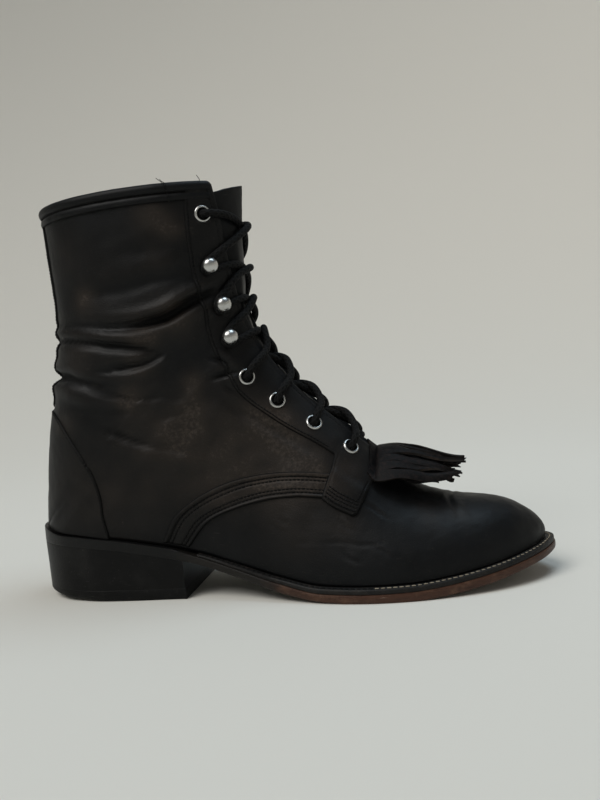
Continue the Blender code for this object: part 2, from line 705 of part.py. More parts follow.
def make_quarter_bands():
    """Raised bands over the quarters, ending at the tabs of the eyestays."""
    columns = list(zip(*QUARTER_BAND))
    knots = np.arange(len(QUARTER_BAND))
    for side, label in ((OUTER, "outer"), (INNER, "inner")):
        grid = []
        for k in np.linspace(0, knots[-1], 17):
            up_x, up_z, low_x, low_z = (float(hermite(knots, column, k)) for column in columns)
            line = []
            for share in np.linspace(0.0, 1.0, 4):
                row, t = find_on_upper(up_x + share * (low_x - up_x), up_z + share * (low_z - up_z))
                line.append(offset_point(row, side, t, CURVED_GAP))
            grid.append(line)
        name = "quarter_band_" + label
        part = add_part(name, sheet_mesh(name, [(grid, side == OUTER)]), WORN_LEATHER)
        thicken(part, OVERLAY, outward=True)


def make_kiltie():
    """Fringed flap from the throat over the vamp, its strips cut through to the tips."""
    sections = [None] + KILTIE_SECTIONS
    edges = []
    for k in range(KILTIE_STRIPS):
        slit = 0.5 * KILTIE_SLIT / KILTIE_ROOT_HALF
        left, right = (-1.0 + 2.0 * n / KILTIE_STRIPS for n in (k, k + 1))
        edges += [left + 0.5 * slit, right - 0.5 * slit]
    lines = []
    for n, section in enumerate(sections):
        line = []
        for k, b in enumerate(edges):
            if section is None:
                side = OUTER if b < 0.0 else INNER
                row = KILTIE_ROOT_ROW - foot_lead(abs(b) * KILTIE_ROOT_HALF)
                t = t_from_front(row, side, abs(b) * KILTIE_ROOT_HALF)
                line.append(offset_point(row, side, t, KILTIE_SEAT))
                continue
            x, z, half, drop = section
            strip = k // 2
            reach = max(n - KILTIE_SOLID_ROWS, 0) / (len(sections) - 1 - KILTIE_SOLID_ROWS)
            lift = KILTIE_LIFT * reach * math.sin(2.4 * strip + 0.6)
            ragged = KILTIE_RAGGED * (0.5 + 0.5 * math.sin(1.7 * strip))
            short = reach * (ragged + KILTIE_ROUNDED * b * b)
            line.append((x - short, KILTIE_MIDDLE_Y + half * b, z - drop * b * b + lift))
        lines.append(line)
    bm = bmesh.new()
    verts = [[bm.verts.new(Vector(p) * MM) for p in line] for line in lines]
    for n in range(len(lines) - 1):
        for k in range(len(edges) - 1):
            between_strips = k % 2 == 1
            if between_strips and n >= KILTIE_SOLID_ROWS:
                continue
            bm.faces.new([verts[n][k], verts[n + 1][k], verts[n + 1][k + 1], verts[n][k + 1]])
    mesh = bpy.data.meshes.new("kiltie")
    bm.to_mesh(mesh)
    bm.free()
    thicken(add_part("kiltie", mesh, LEATHER), KILTIE_THICK, outward=True)


def turned_part(name, profile, closed, steps, finish, place, axis):
    """Round piece from a profile of radii and heights, standing on a surface."""
    mesh = bpy.data.meshes.new(name)
    bm = bmesh.new()
    verts = [bm.verts.new((r * MM, 0.0, z * MM)) for r, z in profile]
    for first, second in zip(verts, verts[1:]):
        bm.edges.new((first, second))
    if closed:
        bm.edges.new((verts[-1], verts[0]))
    bm.to_mesh(mesh)
    bm.free()
    part = add_part(name, mesh, finish)
    screw = part.modifiers.new("Screw", "SCREW")
    screw.axis = "Z"
    screw.steps = steps
    screw.render_steps = steps
    screw.use_merge_vertices = True
    screw.merge_threshold = 0.00001
    turn = Vector((0.0, 0.0, 1.0)).rotation_difference(Vector(axis)).to_matrix().to_4x4()
    part.matrix_world = Matrix.Translation(Vector(place) * MM) @ turn
    return part


def fastening_spots():
    return [(*find_on_upper(x, z), kind) for x, z, kind in FASTENINGS]


def make_fastenings():
    """Eyelets and ball hooks on the eyestays, numbered from the bottom."""
    r, inner, h = EYELET_OUTER, EYELET_INNER, EYELET_HEIGHT
    eyelet = [(0.5 * (r + inner), h), (r - 0.2, 0.6 * h), (r, 0.0), (inner, 0.0), (inner + 0.1, 0.7 * h)]
    c, b = HOOK_CENTRE, HOOK_BALL
    hook = [(0.0, c + b), (0.6 * b, c + 0.8 * b), (b, c), (0.7 * b, c - 0.71 * b), (HOOK_STEM, c - 0.85 * b)]
    hook += [(HOOK_STEM + 0.1, 0.75), (HOOK_BASE - 0.3, 0.7), (HOOK_BASE, 0.0), (0.0, 0.0)]
    for number, (row, t, kind) in enumerate(fastening_spots(), start=1):
        for side, label in ((OUTER, "outer"), (INNER, "inner")):
            place = offset_point(row, side, t, FASTENING_SEAT)
            axis = upper_normal(row, side, t)
            name = f"{kind}_{label}_{number}"
            profile = eyelet if kind == "eyelet" else hook
            turned_part(name, profile, kind == "eyelet", TURNED_STEPS, NICKEL, place, axis)


def lace_turn(spot, side):
    """Way points of a lace round one fastening: in over the facing, round, and out again."""
    row, t, kind = spot
    path = bezier(controls(row, side), np.linspace(t, 1.0, 60))
    reach = float(np.linalg.norm(np.diff(path, axis=0), axis=1).sum())
    if kind == "hook":
        reach -= HOOK_BASE + LACE_RADIUS + HOOK_PLAY
    per_row = np.linalg.norm(upper_point(row + 0.1, side, t) - upper_point(row - 0.1, side, t)) / 0.2
    bend = LACE_BEND / per_row
    over_eyelet = FASTENING_SEAT + EYELET_HEIGHT + 2.0 * CURVED_GAP + LACE_RADIUS
    over_facing = FASTENING_SEAT + CURVED_GAP + LACE_RADIUS
    facing = throat_gap(row) + 1.0
    way = [(row - 1.5 * bend, facing, over_facing), (row - bend, reach, over_eyelet),
           (row + bend, reach, over_eyelet), (row + 1.5 * bend, facing, over_facing)]
    turns = [(place, t_from_front(place, side, distance), out) for place, distance, out in way]
    return [offset_point(place, side, at, out) for place, at, out in turns]


def lace_route(start):
    """Way points of one lace end, zigzag up the boot from the given side of the lowest pair."""
    spots = fastening_spots()
    points = []
    side = start
    for number, spot in enumerate(spots):
        turn = lace_turn(spot, side)
        if number == 0:
            turn = turn[1:]
        elif number == len(spots) - 1:
            turn = turn[:3]
        points += turn
        if number < len(spots) - 1:
            crossing = 0.5 * (spot[0] + spots[number + 1][0])
            points.append(offset_point(crossing, side, 1.0, LACE_CROSSING))
        side = -side
    return points


def tube_mesh(name, points):
    """Round cord through way points, as a closed mesh."""
    curve = bpy.data.curves.new(name, "CURVE")
    curve.dimensions = "3D"
    curve.bevel_depth = LACE_RADIUS * MM
    curve.bevel_resolution = 1
    curve.use_fill_caps = True
    spline = curve.splines.new("POLY")
    spline.points.add(len(points) - 1)
    for spot, p in zip(spline.points, points):
        spot.co = (*(Vector(p) * MM), 1.0)
    carrier = bpy.data.objects.new(name, curve)
    bpy.context.scene.collection.objects.link(carrier)
    evaluated = carrier.evaluated_get(bpy.context.evaluated_depsgraph_get())
    mesh = bpy.data.meshes.new_from_object(evaluated)
    bpy.data.objects.remove(carrier)
    bm = bmesh.new()
    bm.from_mesh(mesh)
    bmesh.ops.remove_doubles(bm, verts=bm.verts, dist=0.02 * MM)
    bmesh.ops.recalc_face_normals(bm, faces=bm.faces)
    bm.to_mesh(mesh)
    bm.free()
    return mesh


def make_laces():
    """Both lace ends with the bar under them, joined at the crossings."""
    routes = {side: lace_route(side) for side in (OUTER, INNER)}
    lowest = fastening_spots()[0]
    bar = lace_turn(lowest, OUTER)[1::-1] + lace_turn(lowest, INNER)[:2]
    pieces = [routes[OUTER], routes[INNER], bar]
    laces = add_part("laces", tube_mesh("laces", pieces[0]), CORD)
    for number, route in enumerate(pieces[1:]):
        name = f"lace_join_{number}"
        joined = bpy.data.objects.new(name, tube_mesh(name, route))
        bpy.data.collections["joins"].objects.link(joined)
        joined.hide_render = True
        joined.display_type = "WIRE"
        union = laces.modifiers.new("Union", "BOOLEAN")
        union.operation = "UNION"
        union.solver = "EXACT"
        union.object = joined


def main():
    for old in list(bpy.data.objects):
        bpy.data.objects.remove(old)
    for name in ("lace_up_western_boot", "joins"):
        bpy.context.scene.collection.children.link(bpy.data.collections.new(name))
    make_outsole()
    make_welt()
    make_heel()
    make_insole()
    make_upper()
    make_tongue()
    make_counter()
    make_backstay()
    make_quarter_bands()
    make_eyestays()
    make_collar_binding()
    make_kiltie()
    make_fastenings()
    make_laces()


main()
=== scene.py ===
# Lace-up western boot: creased leather, seams, fringe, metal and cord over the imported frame.
import math

import bmesh
import bpy
import numpy as np
from mathutils import Matrix, Vector, noise


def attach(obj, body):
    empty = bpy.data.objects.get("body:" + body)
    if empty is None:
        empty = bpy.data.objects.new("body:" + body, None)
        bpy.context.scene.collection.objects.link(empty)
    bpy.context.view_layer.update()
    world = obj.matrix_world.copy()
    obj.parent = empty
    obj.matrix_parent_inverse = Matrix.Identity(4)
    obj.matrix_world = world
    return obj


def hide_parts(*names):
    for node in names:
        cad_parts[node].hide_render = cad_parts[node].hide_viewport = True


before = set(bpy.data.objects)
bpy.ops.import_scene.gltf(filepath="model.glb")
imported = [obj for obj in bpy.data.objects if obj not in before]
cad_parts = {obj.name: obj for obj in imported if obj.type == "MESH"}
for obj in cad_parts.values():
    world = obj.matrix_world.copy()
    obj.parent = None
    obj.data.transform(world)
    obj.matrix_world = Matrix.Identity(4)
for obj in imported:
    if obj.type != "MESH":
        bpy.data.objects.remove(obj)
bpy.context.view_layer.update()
mm = 0.001
outer, inner = -1, 1
sideNames = {outer: "outer", inner: "inner"}

# camera at the photograph's angle, a pale round studio and soft lights
shot = {
    "eye": (0.0801, -0.4329, 0.1201),
    "forward": (-0.1558, 0.9866, -0.0475),
    "up": (0.0695, 0.0589, 0.9958),
    "lens": 36.0,
}
studio = {
    "floorRadius": 0.7,
    "sweep": 3.0,            # radius of the curve from floor to wall
    "sweepEnd": 78.0,        # degrees of it
    "floorColour": (0.72, 0.705, 0.655),
    "skyColour": (0.90, 0.95, 1.0),
    "skyStrength": 0.17,
    "daylight": {"from": (-0.45, -0.60, 1.0), "watts": 1.5, "softness": 36.0, "colour": (1.0, 0.985, 0.95)},
    # name, place, aim, size, watts, colour
    "lights": [
        ("windowLamp", (-0.9, -0.8, 1.1), (0.0, 0.0, 0.10), 0.7, 2.4, (1.0, 0.99, 0.97)),
        ("topLamp", (0.35, 0.15, 1.5), (0.05, 0.0, 0.05), 0.8, 6.0, (0.68, 0.86, 1.0)),
    ],
}


def makeCamera():
    forward = Vector(shot["forward"]).normalized()
    right = forward.cross(Vector(shot["up"])).normalized()
    up = right.cross(forward)
    turn = Matrix((right, up, -forward)).transposed().to_4x4()
    lensData = bpy.data.cameras.new("shotCamera")
    lensData.lens = shot["lens"]
    lensData.sensor_width = 36.0
    camera = bpy.data.objects.new("shotCamera", lensData)
    camera.matrix_world = Matrix.Translation(Vector(shot["eye"])) @ turn
    bpy.context.scene.collection.objects.link(camera)
    bpy.context.scene.camera = camera


def aimLamp(lamp, place, aim):
    holder = bpy.data.objects.new(lamp.name, lamp)
    turn = (Vector(aim) - Vector(place)).to_track_quat("-Z", "Y").to_matrix().to_4x4()
    holder.matrix_world = Matrix.Translation(Vector(place)) @ turn
    bpy.context.scene.collection.objects.link(holder)


def makeStudio():
    floor, sweep = studio["floorRadius"], studio["sweep"]
    profile = [(0.0, 0.0), (0.5 * floor, 0.0), (floor, 0.0)]
    for k in range(1, 25):
        angle = math.radians(studio["sweepEnd"]) * k / 24
        profile.append((floor + sweep * math.sin(angle), sweep * (1.0 - math.cos(angle))))
    mesh = bpy.data.meshes.new("studioBowl")
    bm = bmesh.new()
    verts = [bm.verts.new((r, 0.0, z)) for r, z in profile]
    edges = [bm.edges.new(pair) for pair in zip(verts, verts[1:])]
    bmesh.ops.spin(bm, geom=verts + edges, axis=(0, 0, 1), cent=(0, 0, 0), angle=2.0 * math.pi, steps=72)
    bmesh.ops.remove_doubles(bm, verts=bm.verts, dist=0.0005)
    bmesh.ops.recalc_face_normals(bm, faces=bm.faces)
    bm.to_mesh(mesh)
    bm.free()
    mesh.shade_smooth()
    bowl = bpy.data.objects.new("studioBowl", mesh)
    bpy.context.scene.collection.objects.link(bowl)
    paint = bpy.data.materials.new("studioPaint")
    paint.use_nodes = True
    shader = paint.node_tree.nodes["Principled BSDF"]
    shader.inputs["Base Color"].default_value = (*studio["floorColour"], 1.0)
    shader.inputs["Roughness"].default_value = 0.9
    shader.inputs["Specular IOR Level"].default_value = 0.1
    mesh.materials.append(paint)
    world = bpy.data.worlds.new("studioSky")
    world.use_nodes = True
    sky = world.node_tree.nodes["Background"]
    sky.inputs["Color"].default_value = (*studio["skyColour"], 1.0)
    sky.inputs["Strength"].default_value = studio["skyStrength"]
    bpy.context.scene.world = world
    sun = bpy.data.lights.new("daylight", "SUN")
    sun.energy = studio["daylight"]["watts"]
    sun.angle = math.radians(studio["daylight"]["softness"])
    sun.color = studio["daylight"]["colour"]
    aimLamp(sun, studio["daylight"]["from"], (0.0, 0.0, 0.0))
    for name, place, aim, size, watts, colour in studio["lights"]:
        lamp = bpy.data.lights.new(name, "AREA")
        lamp.shape = "DISK"
        lamp.size = size
        lamp.energy = watts
        lamp.color = colour
        aimLamp(lamp, place, aim)
    bpy.context.scene.view_settings.view_transform = "Standard"


# the last, in millimetres, with the same sections as the solids
last = {
    "wall": 2.0,
    "gap": 0.3,
    "ledgeHeel": 3.2,        # sole edge beyond the upper
    "ledgeToe": 5.2,
    "ledgeGrows": (0.2, 0.55),
    "weltThick": 2.4,
    "weltTail": 1.0,
    "weltFullX": 15.0,
    "weltEndX": -44.0,
    "seatStartX": -58.0,
    "throatRow": 10.0,
    # x, to the outer side, to the inner side
    "solePlan": [
        (-140.8, 0.0, 0.0), (-135.9, 15.5, 15.5), (-124.1, 26.5, 26.5), (-104.6, 32.5, 32.0), (-80.0, 33.5, 32.0),
        (-52.0, 33.0, 29.5), (-25.0, 35.5, 27.0), (0.0, 42.0, 30.5), (25.0, 48.0, 39.5), (48.0, 50.0, 46.0),
        (70.0, 47.8, 48.5), (92.0, 42.0, 46.5), (112.0, 33.5, 40.0), (127.0, 23.0, 30.5), (137.5, 10.5, 18.0),
        (142.4, -3.5, 3.5),
    ],
    # x, underside, top where the upper stands
    "soleSide": [
        (-142.0, 31.4, 36.6), (-120.0, 30.6, 35.8), (-92.0, 28.2, 33.2), (-65.0, 23.4, 28.6), (-45.0, 18.8, 24.2),
        (-23.0, 11.8, 17.6), (3.0, 4.0, 10.8), (22.0, 0.8, 7.4), (37.0, 0.0, 7.0), (44.0, 0.0, 6.9), (66.0, 0.0, 7.2),
        (86.0, 1.6, 8.9), (106.0, 4.6, 11.8), (125.0, 8.6, 15.4), (142.4, 12.3, 18.9),
    ],
    # base x, ridge x, ridge z, ridge y, rise, crown
    "footSections": [
        (140.0, 137.2, 18.2, 3.0, 0.0, 0.0), (136.4, 137.3, 22.6, 3.0, 2.6, 3.6), (133.0, 135.2, 27.4, 3.0, 5.2, 7.2),
        (126.5, 129.8, 32.6, 3.2, 9.2, 11.0), (114.5, 119.8, 38.4, 3.6, 14.5, 15.5),
        (100.0, 108.5, 41.2, 4.0, 18.0, 19.5), (84.0, 96.5, 42.4, 4.4, 20.5, 22.5), (67.0, 84.0, 45.0, 4.6, 23.0, 23.5),
        (50.0, 72.0, 49.6, 4.6, 26.0, 23.5), (34.0, 61.0, 57.5, 4.4, 29.0, 22.5), (17.0, 51.0, 69.0, 4.0, 33.0, 22.5),
        (-5.0, 35.0, 85.5, 3.2, 38.0, 25.0), (-31.0, 17.4, 101.2, 2.4, 43.0, 28.0), (-58.0, 3.6, 117.4, 1.6, 48.0, 30.0),
        (-86.0, -7.2, 133.6, 1.0, 52.0, 34.0), (-112.0, -11.8, 146.0, 0.5, 42.5, 37.5),
        (-128.0, -13.6, 154.0, 0.2, 37.6, 39.0), (-138.6, -14.2, 160.5, 0.0, 47.0, 40.5),
    ],
    # back x, back z, front x, front z, back roundness, front roundness
    "shaftSections": [
        (-136.0, 53.0, -14.6, 166.5, 47.0, 42.0), (-132.0, 86.0, -14.8, 178.0, 46.5, 43.5),
        (-126.2, 114.0, -14.6, 189.0, 45.5, 44.5), (-121.2, 148.0, -14.0, 199.0, 45.5, 45.0),
        (-123.0, 181.5, -13.4, 208.0, 46.0, 45.5), (-125.2, 212.6, -12.8, 216.8, 46.5, 46.0),
    ],
    # section, half the lace opening
    "throatGap": [
        (10.0, 0.0), (10.12, 4.5), (10.5, 7.0), (14.5, 7.0), (16.0, 8.5), (18.0, 11.0), (20.0, 17.0), (21.7, 20.2),
        (23.0, 24.0),
    ],
}
heelRow = float(len(last["footSections"]) - 1)
collarRow = heelRow + len(last["shaftSections"])


def hermite(knots, values, at, flat=False):
    knots = np.asarray(knots, float)
    values = np.asarray(values, float)
    steps = np.diff(knots)
    secants = np.diff(values) / steps
    slopes = np.concatenate([secants[:1], np.zeros(len(knots) - 2), secants[-1:]])
    before, after = secants[:-1], secants[1:]
    if flat:                 # keeps level stretches level
        level = before * after <= 0.0
        total = np.where(level, 1.0, before + after)
        slopes[1:-1] = np.where(level, 0.0, 2.0 * before * after / total)
    else:
        slopes[1:-1] = (before * steps[1:] + after * steps[:-1]) / (steps[1:] + steps[:-1])
    at = np.clip(np.asarray(at, float), knots[0], knots[-1])
    k = np.clip(np.searchsorted(knots, at, side="right") - 1, 0, len(steps) - 1)
    u = (at - knots[k]) / steps[k]
    return ((1 + 2 * u) * (1 - u) ** 2 * values[k] + u * (1 - u) ** 2 * steps[k] * slopes[k]
            + u * u * (3 - 2 * u) * values[k + 1] + u * u * (u - 1) * steps[k] * slopes[k + 1])


def smoothstep(low, high, value):
    u = np.clip((np.asarray(value, float) - low) / (high - low), 0.0, 1.0)
    return u * u * (3.0 - 2.0 * u)


def unitRows(vectors):
    return vectors / np.maximum(np.linalg.norm(vectors, axis=-1, keepdims=True), 1e-9)


def halfEdges():
    outline = {outer: [(x, -o) for x, o, _ in last["solePlan"]], inner: [(x, i) for x, _, i in last["solePlan"]]}
    halves = {}
    for side in (outer, inner):
        far = outline[-side]
        ring = np.array([far[2], far[1]] + outline[side] + [far[-2], far[-3]])
        chord = np.concatenate([[0.0], np.cumsum(np.linalg.norm(np.diff(ring, axis=0), axis=1))])
        dense = np.linspace(chord[2], chord[-3], 1201)
        path = np.stack([hermite(chord, ring[:, 0], dense), hermite(chord, ring[:, 1], dense)], axis=1)
        length = np.concatenate([[0.0], np.cumsum(np.linalg.norm(np.diff(path, axis=0), axis=1))])
        tangent = np.gradient(path, axis=0)
        normal = unitRows(np.stack([tangent[:, 1], -tangent[:, 0]], axis=1) * -side)
        normal[0], normal[-1] = (-1.0, 0.0), (1.0, 0.0)
        halves[side] = (length / length[-1], path, normal)
    return halves


edgeHalves = halfEdges()


def edgePoint(side, s, inset):
    share, path, normal = edgeHalves[side]
    n = np.array([np.interp(s, share, normal[:, 0]), np.interp(s, share, normal[:, 1])])
    n = n / np.linalg.norm(n)
    p = np.array([np.interp(s, share, path[:, 0]), np.interp(s, share, path[:, 1])])
    return p - inset * n, n


def edgeShare(side, x, inset=0.0):
    share, path, normal = edgeHalves[side]
    return float(np.interp(x, path[:, 0] - inset * normal[:, 0], share))


def ledge(s):
    return float(np.interp(s, last["ledgeGrows"], (last["ledgeHeel"], last["ledgeToe"])))


def soleUnder(x):
    return float(hermite(*list(zip(*last["soleSide"]))[:2], x, flat=True))


def seat(x):
    columns = list(zip(*last["soleSide"]))
    return hermite(columns[0], columns[2], x, flat=True)


def weltThick(x):
    return float(np.interp(x, [last["weltEndX"], last["weltFullX"]], [last["weltTail"], last["weltThick"]]))


def outsoleTop(x):
    drop = np.interp(x, [last["seatStartX"], last["weltEndX"] - 2.0], [0.0, 1.0])
    return float(seat(x)) - drop * (weltThick(x) + last["gap"])


def sectionColumns():
    baseX, ridgeX, ridgeZ, ridgeY, rise, crown = (np.array(c) for c in zip(*last["footSections"]))
    backX, backZ, frontX, frontZ, backRound, frontRound = (np.array(c) for c in zip(*last["shaftSections"]))
    columns = {"row": np.arange(collarRow + 1.0)}
    for side in (outer, inner):
        share = [edgeShare(side, x, last["ledgeToe"] if x > 0.0 else last["ledgeHeel"]) for x in baseX]
        columns[side] = np.concatenate([share, np.zeros(len(backX))])
    columns["frontX"] = np.concatenate([ridgeX, frontX])
    columns["frontY"] = np.concatenate([ridgeY, np.zeros(len(backX))])
    columns["frontZ"] = np.concatenate([ridgeZ, frontZ])
    columns["rise"] = np.concatenate([rise, backRound])
    columns["crown"] = np.concatenate([crown, frontRound])
    heel = edgePoint(outer, 0.0, last["ledgeHeel"])[0]
    columns["backRow"] = columns["row"][int(heelRow):]
    columns["backX"] = np.concatenate([[heel[0]], backX])
    columns["backZ"] = np.concatenate([[seat(heel[0]) + last["gap"]], backZ])
    return columns


columns = sectionColumns()


def sectionPoints(row, side, ts):
    def column(name):
        return float(hermite(columns["row"], columns[name], row))

    if row <= heelRow:
        share = min(max(column(side), 0.0), 1.0)
        plan, normal = edgePoint(side, share, ledge(share))
        base = np.array([plan[0], plan[1], float(seat(plan[0])) + last["gap"]])
    else:
        back = [float(hermite(columns["backRow"], columns[name], row)) for name in ("backX", "backZ")]
        base, normal = np.array([back[0], 0.0, back[1]]), np.array([-1.0, 0.0])
    front = np.array([column("frontX"), column("frontY"), column("frontZ")])
    if row == 0.0:
        front = base.copy()
    across = np.array([0.0, float(side), 0.0])
    climb = (front - base) * (1.0, 0.0, 1.0)
    climb = climb / max(np.linalg.norm(climb), 1e-6)
    start = abs(normal[1]) * climb - climb[0] * normal[0] * across
    start = start / max(np.linalg.norm(start), 1e-6)
    low, high = base + column("rise") * start, front + column("crown") * across
    t = np.asarray(ts, float)[:, None]
    u = 1.0 - t
    return u ** 3 * base + 3 * u * u * t * low + 3 * u * t * t * high + t ** 3 * front


def throatGap(row):
    rows, gaps = zip(*last["throatGap"])
    return np.where(np.asarray(row) >= last["throatRow"], np.interp(row, rows, gaps), 0.0)


# folds of the worn leather: x, z (or x, y over the vamp) and depth along each, in millimetres
folds = {
    "rowStep": 0.05,
    "columns": 161,
    "ankleRows": (14.2, 15.4, 18.4, 20.0),   # where the lasted sections are blended
    "featherFade": 7.0,      # folds die out this far above the sole
    "grainLumps": 0.16,
    "lips": 0.8,            # height of all lips beside the folds
    # path, width, share of the lip above, share of the lip below
    "side": [
        ([(-24, 161, 0.0), (-31, 158, 2.4), (-39, 154.5, 4.2), (-46, 150.5, 5.2), (-52, 148, 5.0), (-62, 146.3, 3.6),
          (-73, 145, 2.0), (-86, 146.5, 0.8), (-98, 148, 0.0)], 2.6, 0.75, 0.45),
        ([(-128, 150, 0.3), (-106, 149.1, 1.0), (-91, 146.8, 1.4), (-80, 145.4, 1.0), (-72, 144.5, 0.0)], 2.0, 0.3, 0.15),
        ([(-134, 141.5, 1.0), (-118, 141.5, 1.8), (-103, 140.3, 2.6), (-86, 137, 3.2), (-70.5, 134.2, 3.2),
          (-60, 132.3, 2.4), (-53, 131.6, 0.0)], 2.2, 0.7, 0.3),
        ([(-96, 123, 0.0), (-87, 123.2, 1.4), (-77, 123.6, 2.4), (-68.8, 124.4, 2.8), (-60, 126.6, 2.4), (-54, 129.6, 1.2),
          (-51, 131, 0.0)], 2.0, 0.3, 0.8),
        ([(-134, 122.5, 4.6), (-123, 122, 4.4), (-110, 121.5, 3.2), (-101, 118.6, 2.6), (-92, 116.8, 2.2), (-83, 116, 1.4),
          (-74, 115.5, 0.0)], 2.8, 0.4, 0.4),
        ([(-100, 114, 0.0), (-91.6, 112.5, 1.2), (-78, 109.4, 2.0), (-66, 107, 1.8), (-55, 107.5, 1.0), (-45, 105.5, 0.0)],
         2.2, 0.35, 0.8),
        ([(-90, 104, 0.0), (-80, 102.5, 0.8), (-70, 101.5, 1.2), (-58, 101, 0.8), (-50, 100, 0.0)], 2.4, 0.5, 0.2),
        ([(-94, 95, 0.0), (-85, 90.5, 1.0), (-73.6, 85.7, 1.5), (-60, 81.2, 1.3), (-48, 78.5, 0.9), (-34, 76, 0.0)],
         2.2, 0.2, 0.8),
        ([(-33, 127.5, 0.0), (-28, 125.6, 1.7), (-24, 123.6, 1.8), (-20, 119.5, 0.8), (-16, 117, 0.0)], 1.4, 0.6, 0.7),
        ([(-33, 115, 0.0), (-27, 115.8, 1.7), (-21, 117, 1.9), (-14, 118, 0.0)], 1.5, 0.7, 0.6),
        ([(-25, 114, 0.0), (-22.5, 110.5, 1.3), (-20, 108, 1.3), (-15.5, 107, 0.0)], 1.2, 0.6, 0.6),
        ([(-66, 96, 0.0), (-58, 96.2, 0.6), (-50, 97.5, 0.8), (-42, 99.5, 0.6), (-37, 100.5, 0.0)], 1.8, 0.5, 0.4),
        ([(-28, 106, 0.0), (-17, 97, 0.8), (-3, 88, 0.9), (13, 78, 0.7), (26, 69, 0.0)], 2.4, 0.1, 0.8),
        ([(-28, 88, 0.0), (-31, 83, 0.6), (-34, 76, 0.7), (-37, 70, 0.0)], 1.8, 0.4, 0.4),
        ([(-30, 172, 0.0), (-40, 171, 0.8), (-55, 168, 1.2), (-72, 165, 1.0), (-92, 164, 0.6), (-110, 165, 0.0)],
         4.0, 0.4, 0.3),
        ([(-36, 188, 0.0), (-46, 186, 0.6), (-60, 184, 0.5), (-74, 184, 0.0)], 4.0, 0.3, 0.3),
        ([(-118, 108, 0.0), (-109, 106, 0.8), (-98, 103, 0.9), (-88, 102, 0.0)], 2.4, 0.4, 0.3),
        ([(-60, 62, 0.0), (-52, 60, 0.5), (-44, 62, 0.5), (-36, 66, 0.0)], 2.2, 0.4, 0.3),
        ([(-3, 39.5, 0.0), (-1.5, 37.5, 0.6), (0, 35.8, 0.6), (1.6, 33.4, 0.0)], 0.9, 0.6, 0.6),
        ([(3, 42.5, 0.0), (4.3, 39, 0.6), (4.6, 37, 0.6), (4, 33.4, 0.0)], 0.9, 0.6, 0.6),
        ([(31, 40, 0.0), (34, 37.4, 0.65), (36.5, 35, 0.65), (41, 32.5, 0.0)], 0.9, 0.6, 0.6),
        ([(45, 46.5, 0.0), (49, 43.3, 0.6), (53, 40.2, 0.6), (58, 36.5, 0.0)], 0.9, 0.6, 0.6),
        ([(20, 28.2, 0.0), (28, 28.8, 0.4), (37, 28, 0.45), (46, 26.6, 0.4), (57, 27.8, 0.0)], 0.8, 0.2, 0.2),
        ([(32.5, 24.2, 0.0), (36, 21.4, 0.5), (39.5, 19.4, 0.5), (43, 18.2, 0.0)], 0.9, 0.6, 0.6),
        ([(46, 28, 0.0), (51, 25, 0.5), (55, 22.5, 0.5), (60, 19, 0.0)], 0.9, 0.6, 0.6),
        ([(9, 31, 0.0), (12, 28.9, 0.35), (14.5, 29.2, 0.35), (17, 31.2, 0.0)], 1.0, 0.5, 0.5),
    ],
    "vamp": [
        ([(88, 30, 0.0), (91, 20, 0.3), (90, 8, 0.4), (88, -4, 0.5), (90, -14, 0.5), (92, -20, 0.25), (93, -25, 0.0)],
         1.2, 0.5, 0.5),
        ([(98, 14, 0.0), (97, 2, 0.12), (96, -8, 0.15), (98, -17, 0.12), (101, -24, 0.0)], 1.0, 0.4, 0.4),
        ([(78, 38, 0.0), (80, 28, 0.15), (79, 14, 0.12), (77, -2, 0.1), (78, -14, 0.0)], 1.2, 0.5, 0.5),
        ([(86, -17, 0.0), (87, -21, 0.16), (86, -25, 0.14), (87, -29, 0.0)], 0.8, 0.5, 0.5),
    ],
    # soft swellings between the folds: x, z, radius, height
    "swells": [
        (-42, 144, 11, 1.6), (-70, 139, 12, 0.9), (-98, 131, 13, 1.2), (-66, 117, 12, 0.9), (-104, 111, 10, 0.8),
        (-52, 160, 12, 1.0), (-80, 153, 14, 0.7), (-60, 74, 16, 0.7), (-28, 88, 14, 0.6), (-86, 100, 12, -0.8),
        (-44, 122, 10, -0.8), (-116, 150, 14, 0.5), (-75, 178, 20, 0.7), (10, 36, 18, 0.5),
    ],
    "innerShift": (5.0, -2.5),   # the same folds lie a little elsewhere on the inner side
    "innerShare": 0.8,
}
# rubbed patches, where the broad ones also stand for a painted sheen that lightens the quarter and the counter: x, z,
# radius, strength
rubAndSheenPatches = {
    "side": [
        (-40, 113, 6, 1.0), (-42, 98, 7, 1.1), (-49, 88, 8, 1.0), (-94, 161, 7, 1.0), (-62, 140, 8, 0.9),
        (-54, 201, 8, 1.0), (-44, 195, 7, 0.9), (-52, 180, 7, 0.3), (-5, 91, 9, 0.8), (8, 81, 9, 0.8), (20, 68, 9, 0.7), (4, 94, 7, 0.6),
        (-18, 82, 24, 0.55), (-46, 72, 24, 0.45), (4, 70, 16, 0.45), (-64, 92, 20, 0.3), (28, 57, 9, 0.5), (37, 62, 8, 0.4),
        (-112, 62, 26, 0.25), (-78, 50, 20, 0.25), (-73, 107, 7, 0.95), (-46, 148, 8, 0.8), (-100, 132, 9, 0.3), (34, 37, 8, 0.4),
        (-104, 186, 12, 0.25), (-92, 60, 14, 0.2), (-30, 58, 12, 0.5), (-10, 57, 11, 0.45), (6, 58, 10, 0.5),
        (16, 57, 8, 0.45), (10, 40, 16, 0.35), (-114, 96, 7, 0.4),
        (-66, 124, 7, 0.5),
    ],
    "vamp": [(78, -24, 7, 0.35), (92, -18, 6, 0.35)],
    "ridges": 0.10,          # how much the crests of folds are rubbed
}


def nearestOnGrid(points, path, axes):
    picks = []
    for a, b in path:
        picks.append(int(np.argmin((points[:, axes[0]] - a) ** 2 + (points[:, axes[1]] - b) ** 2)))
    return np.array(picks)


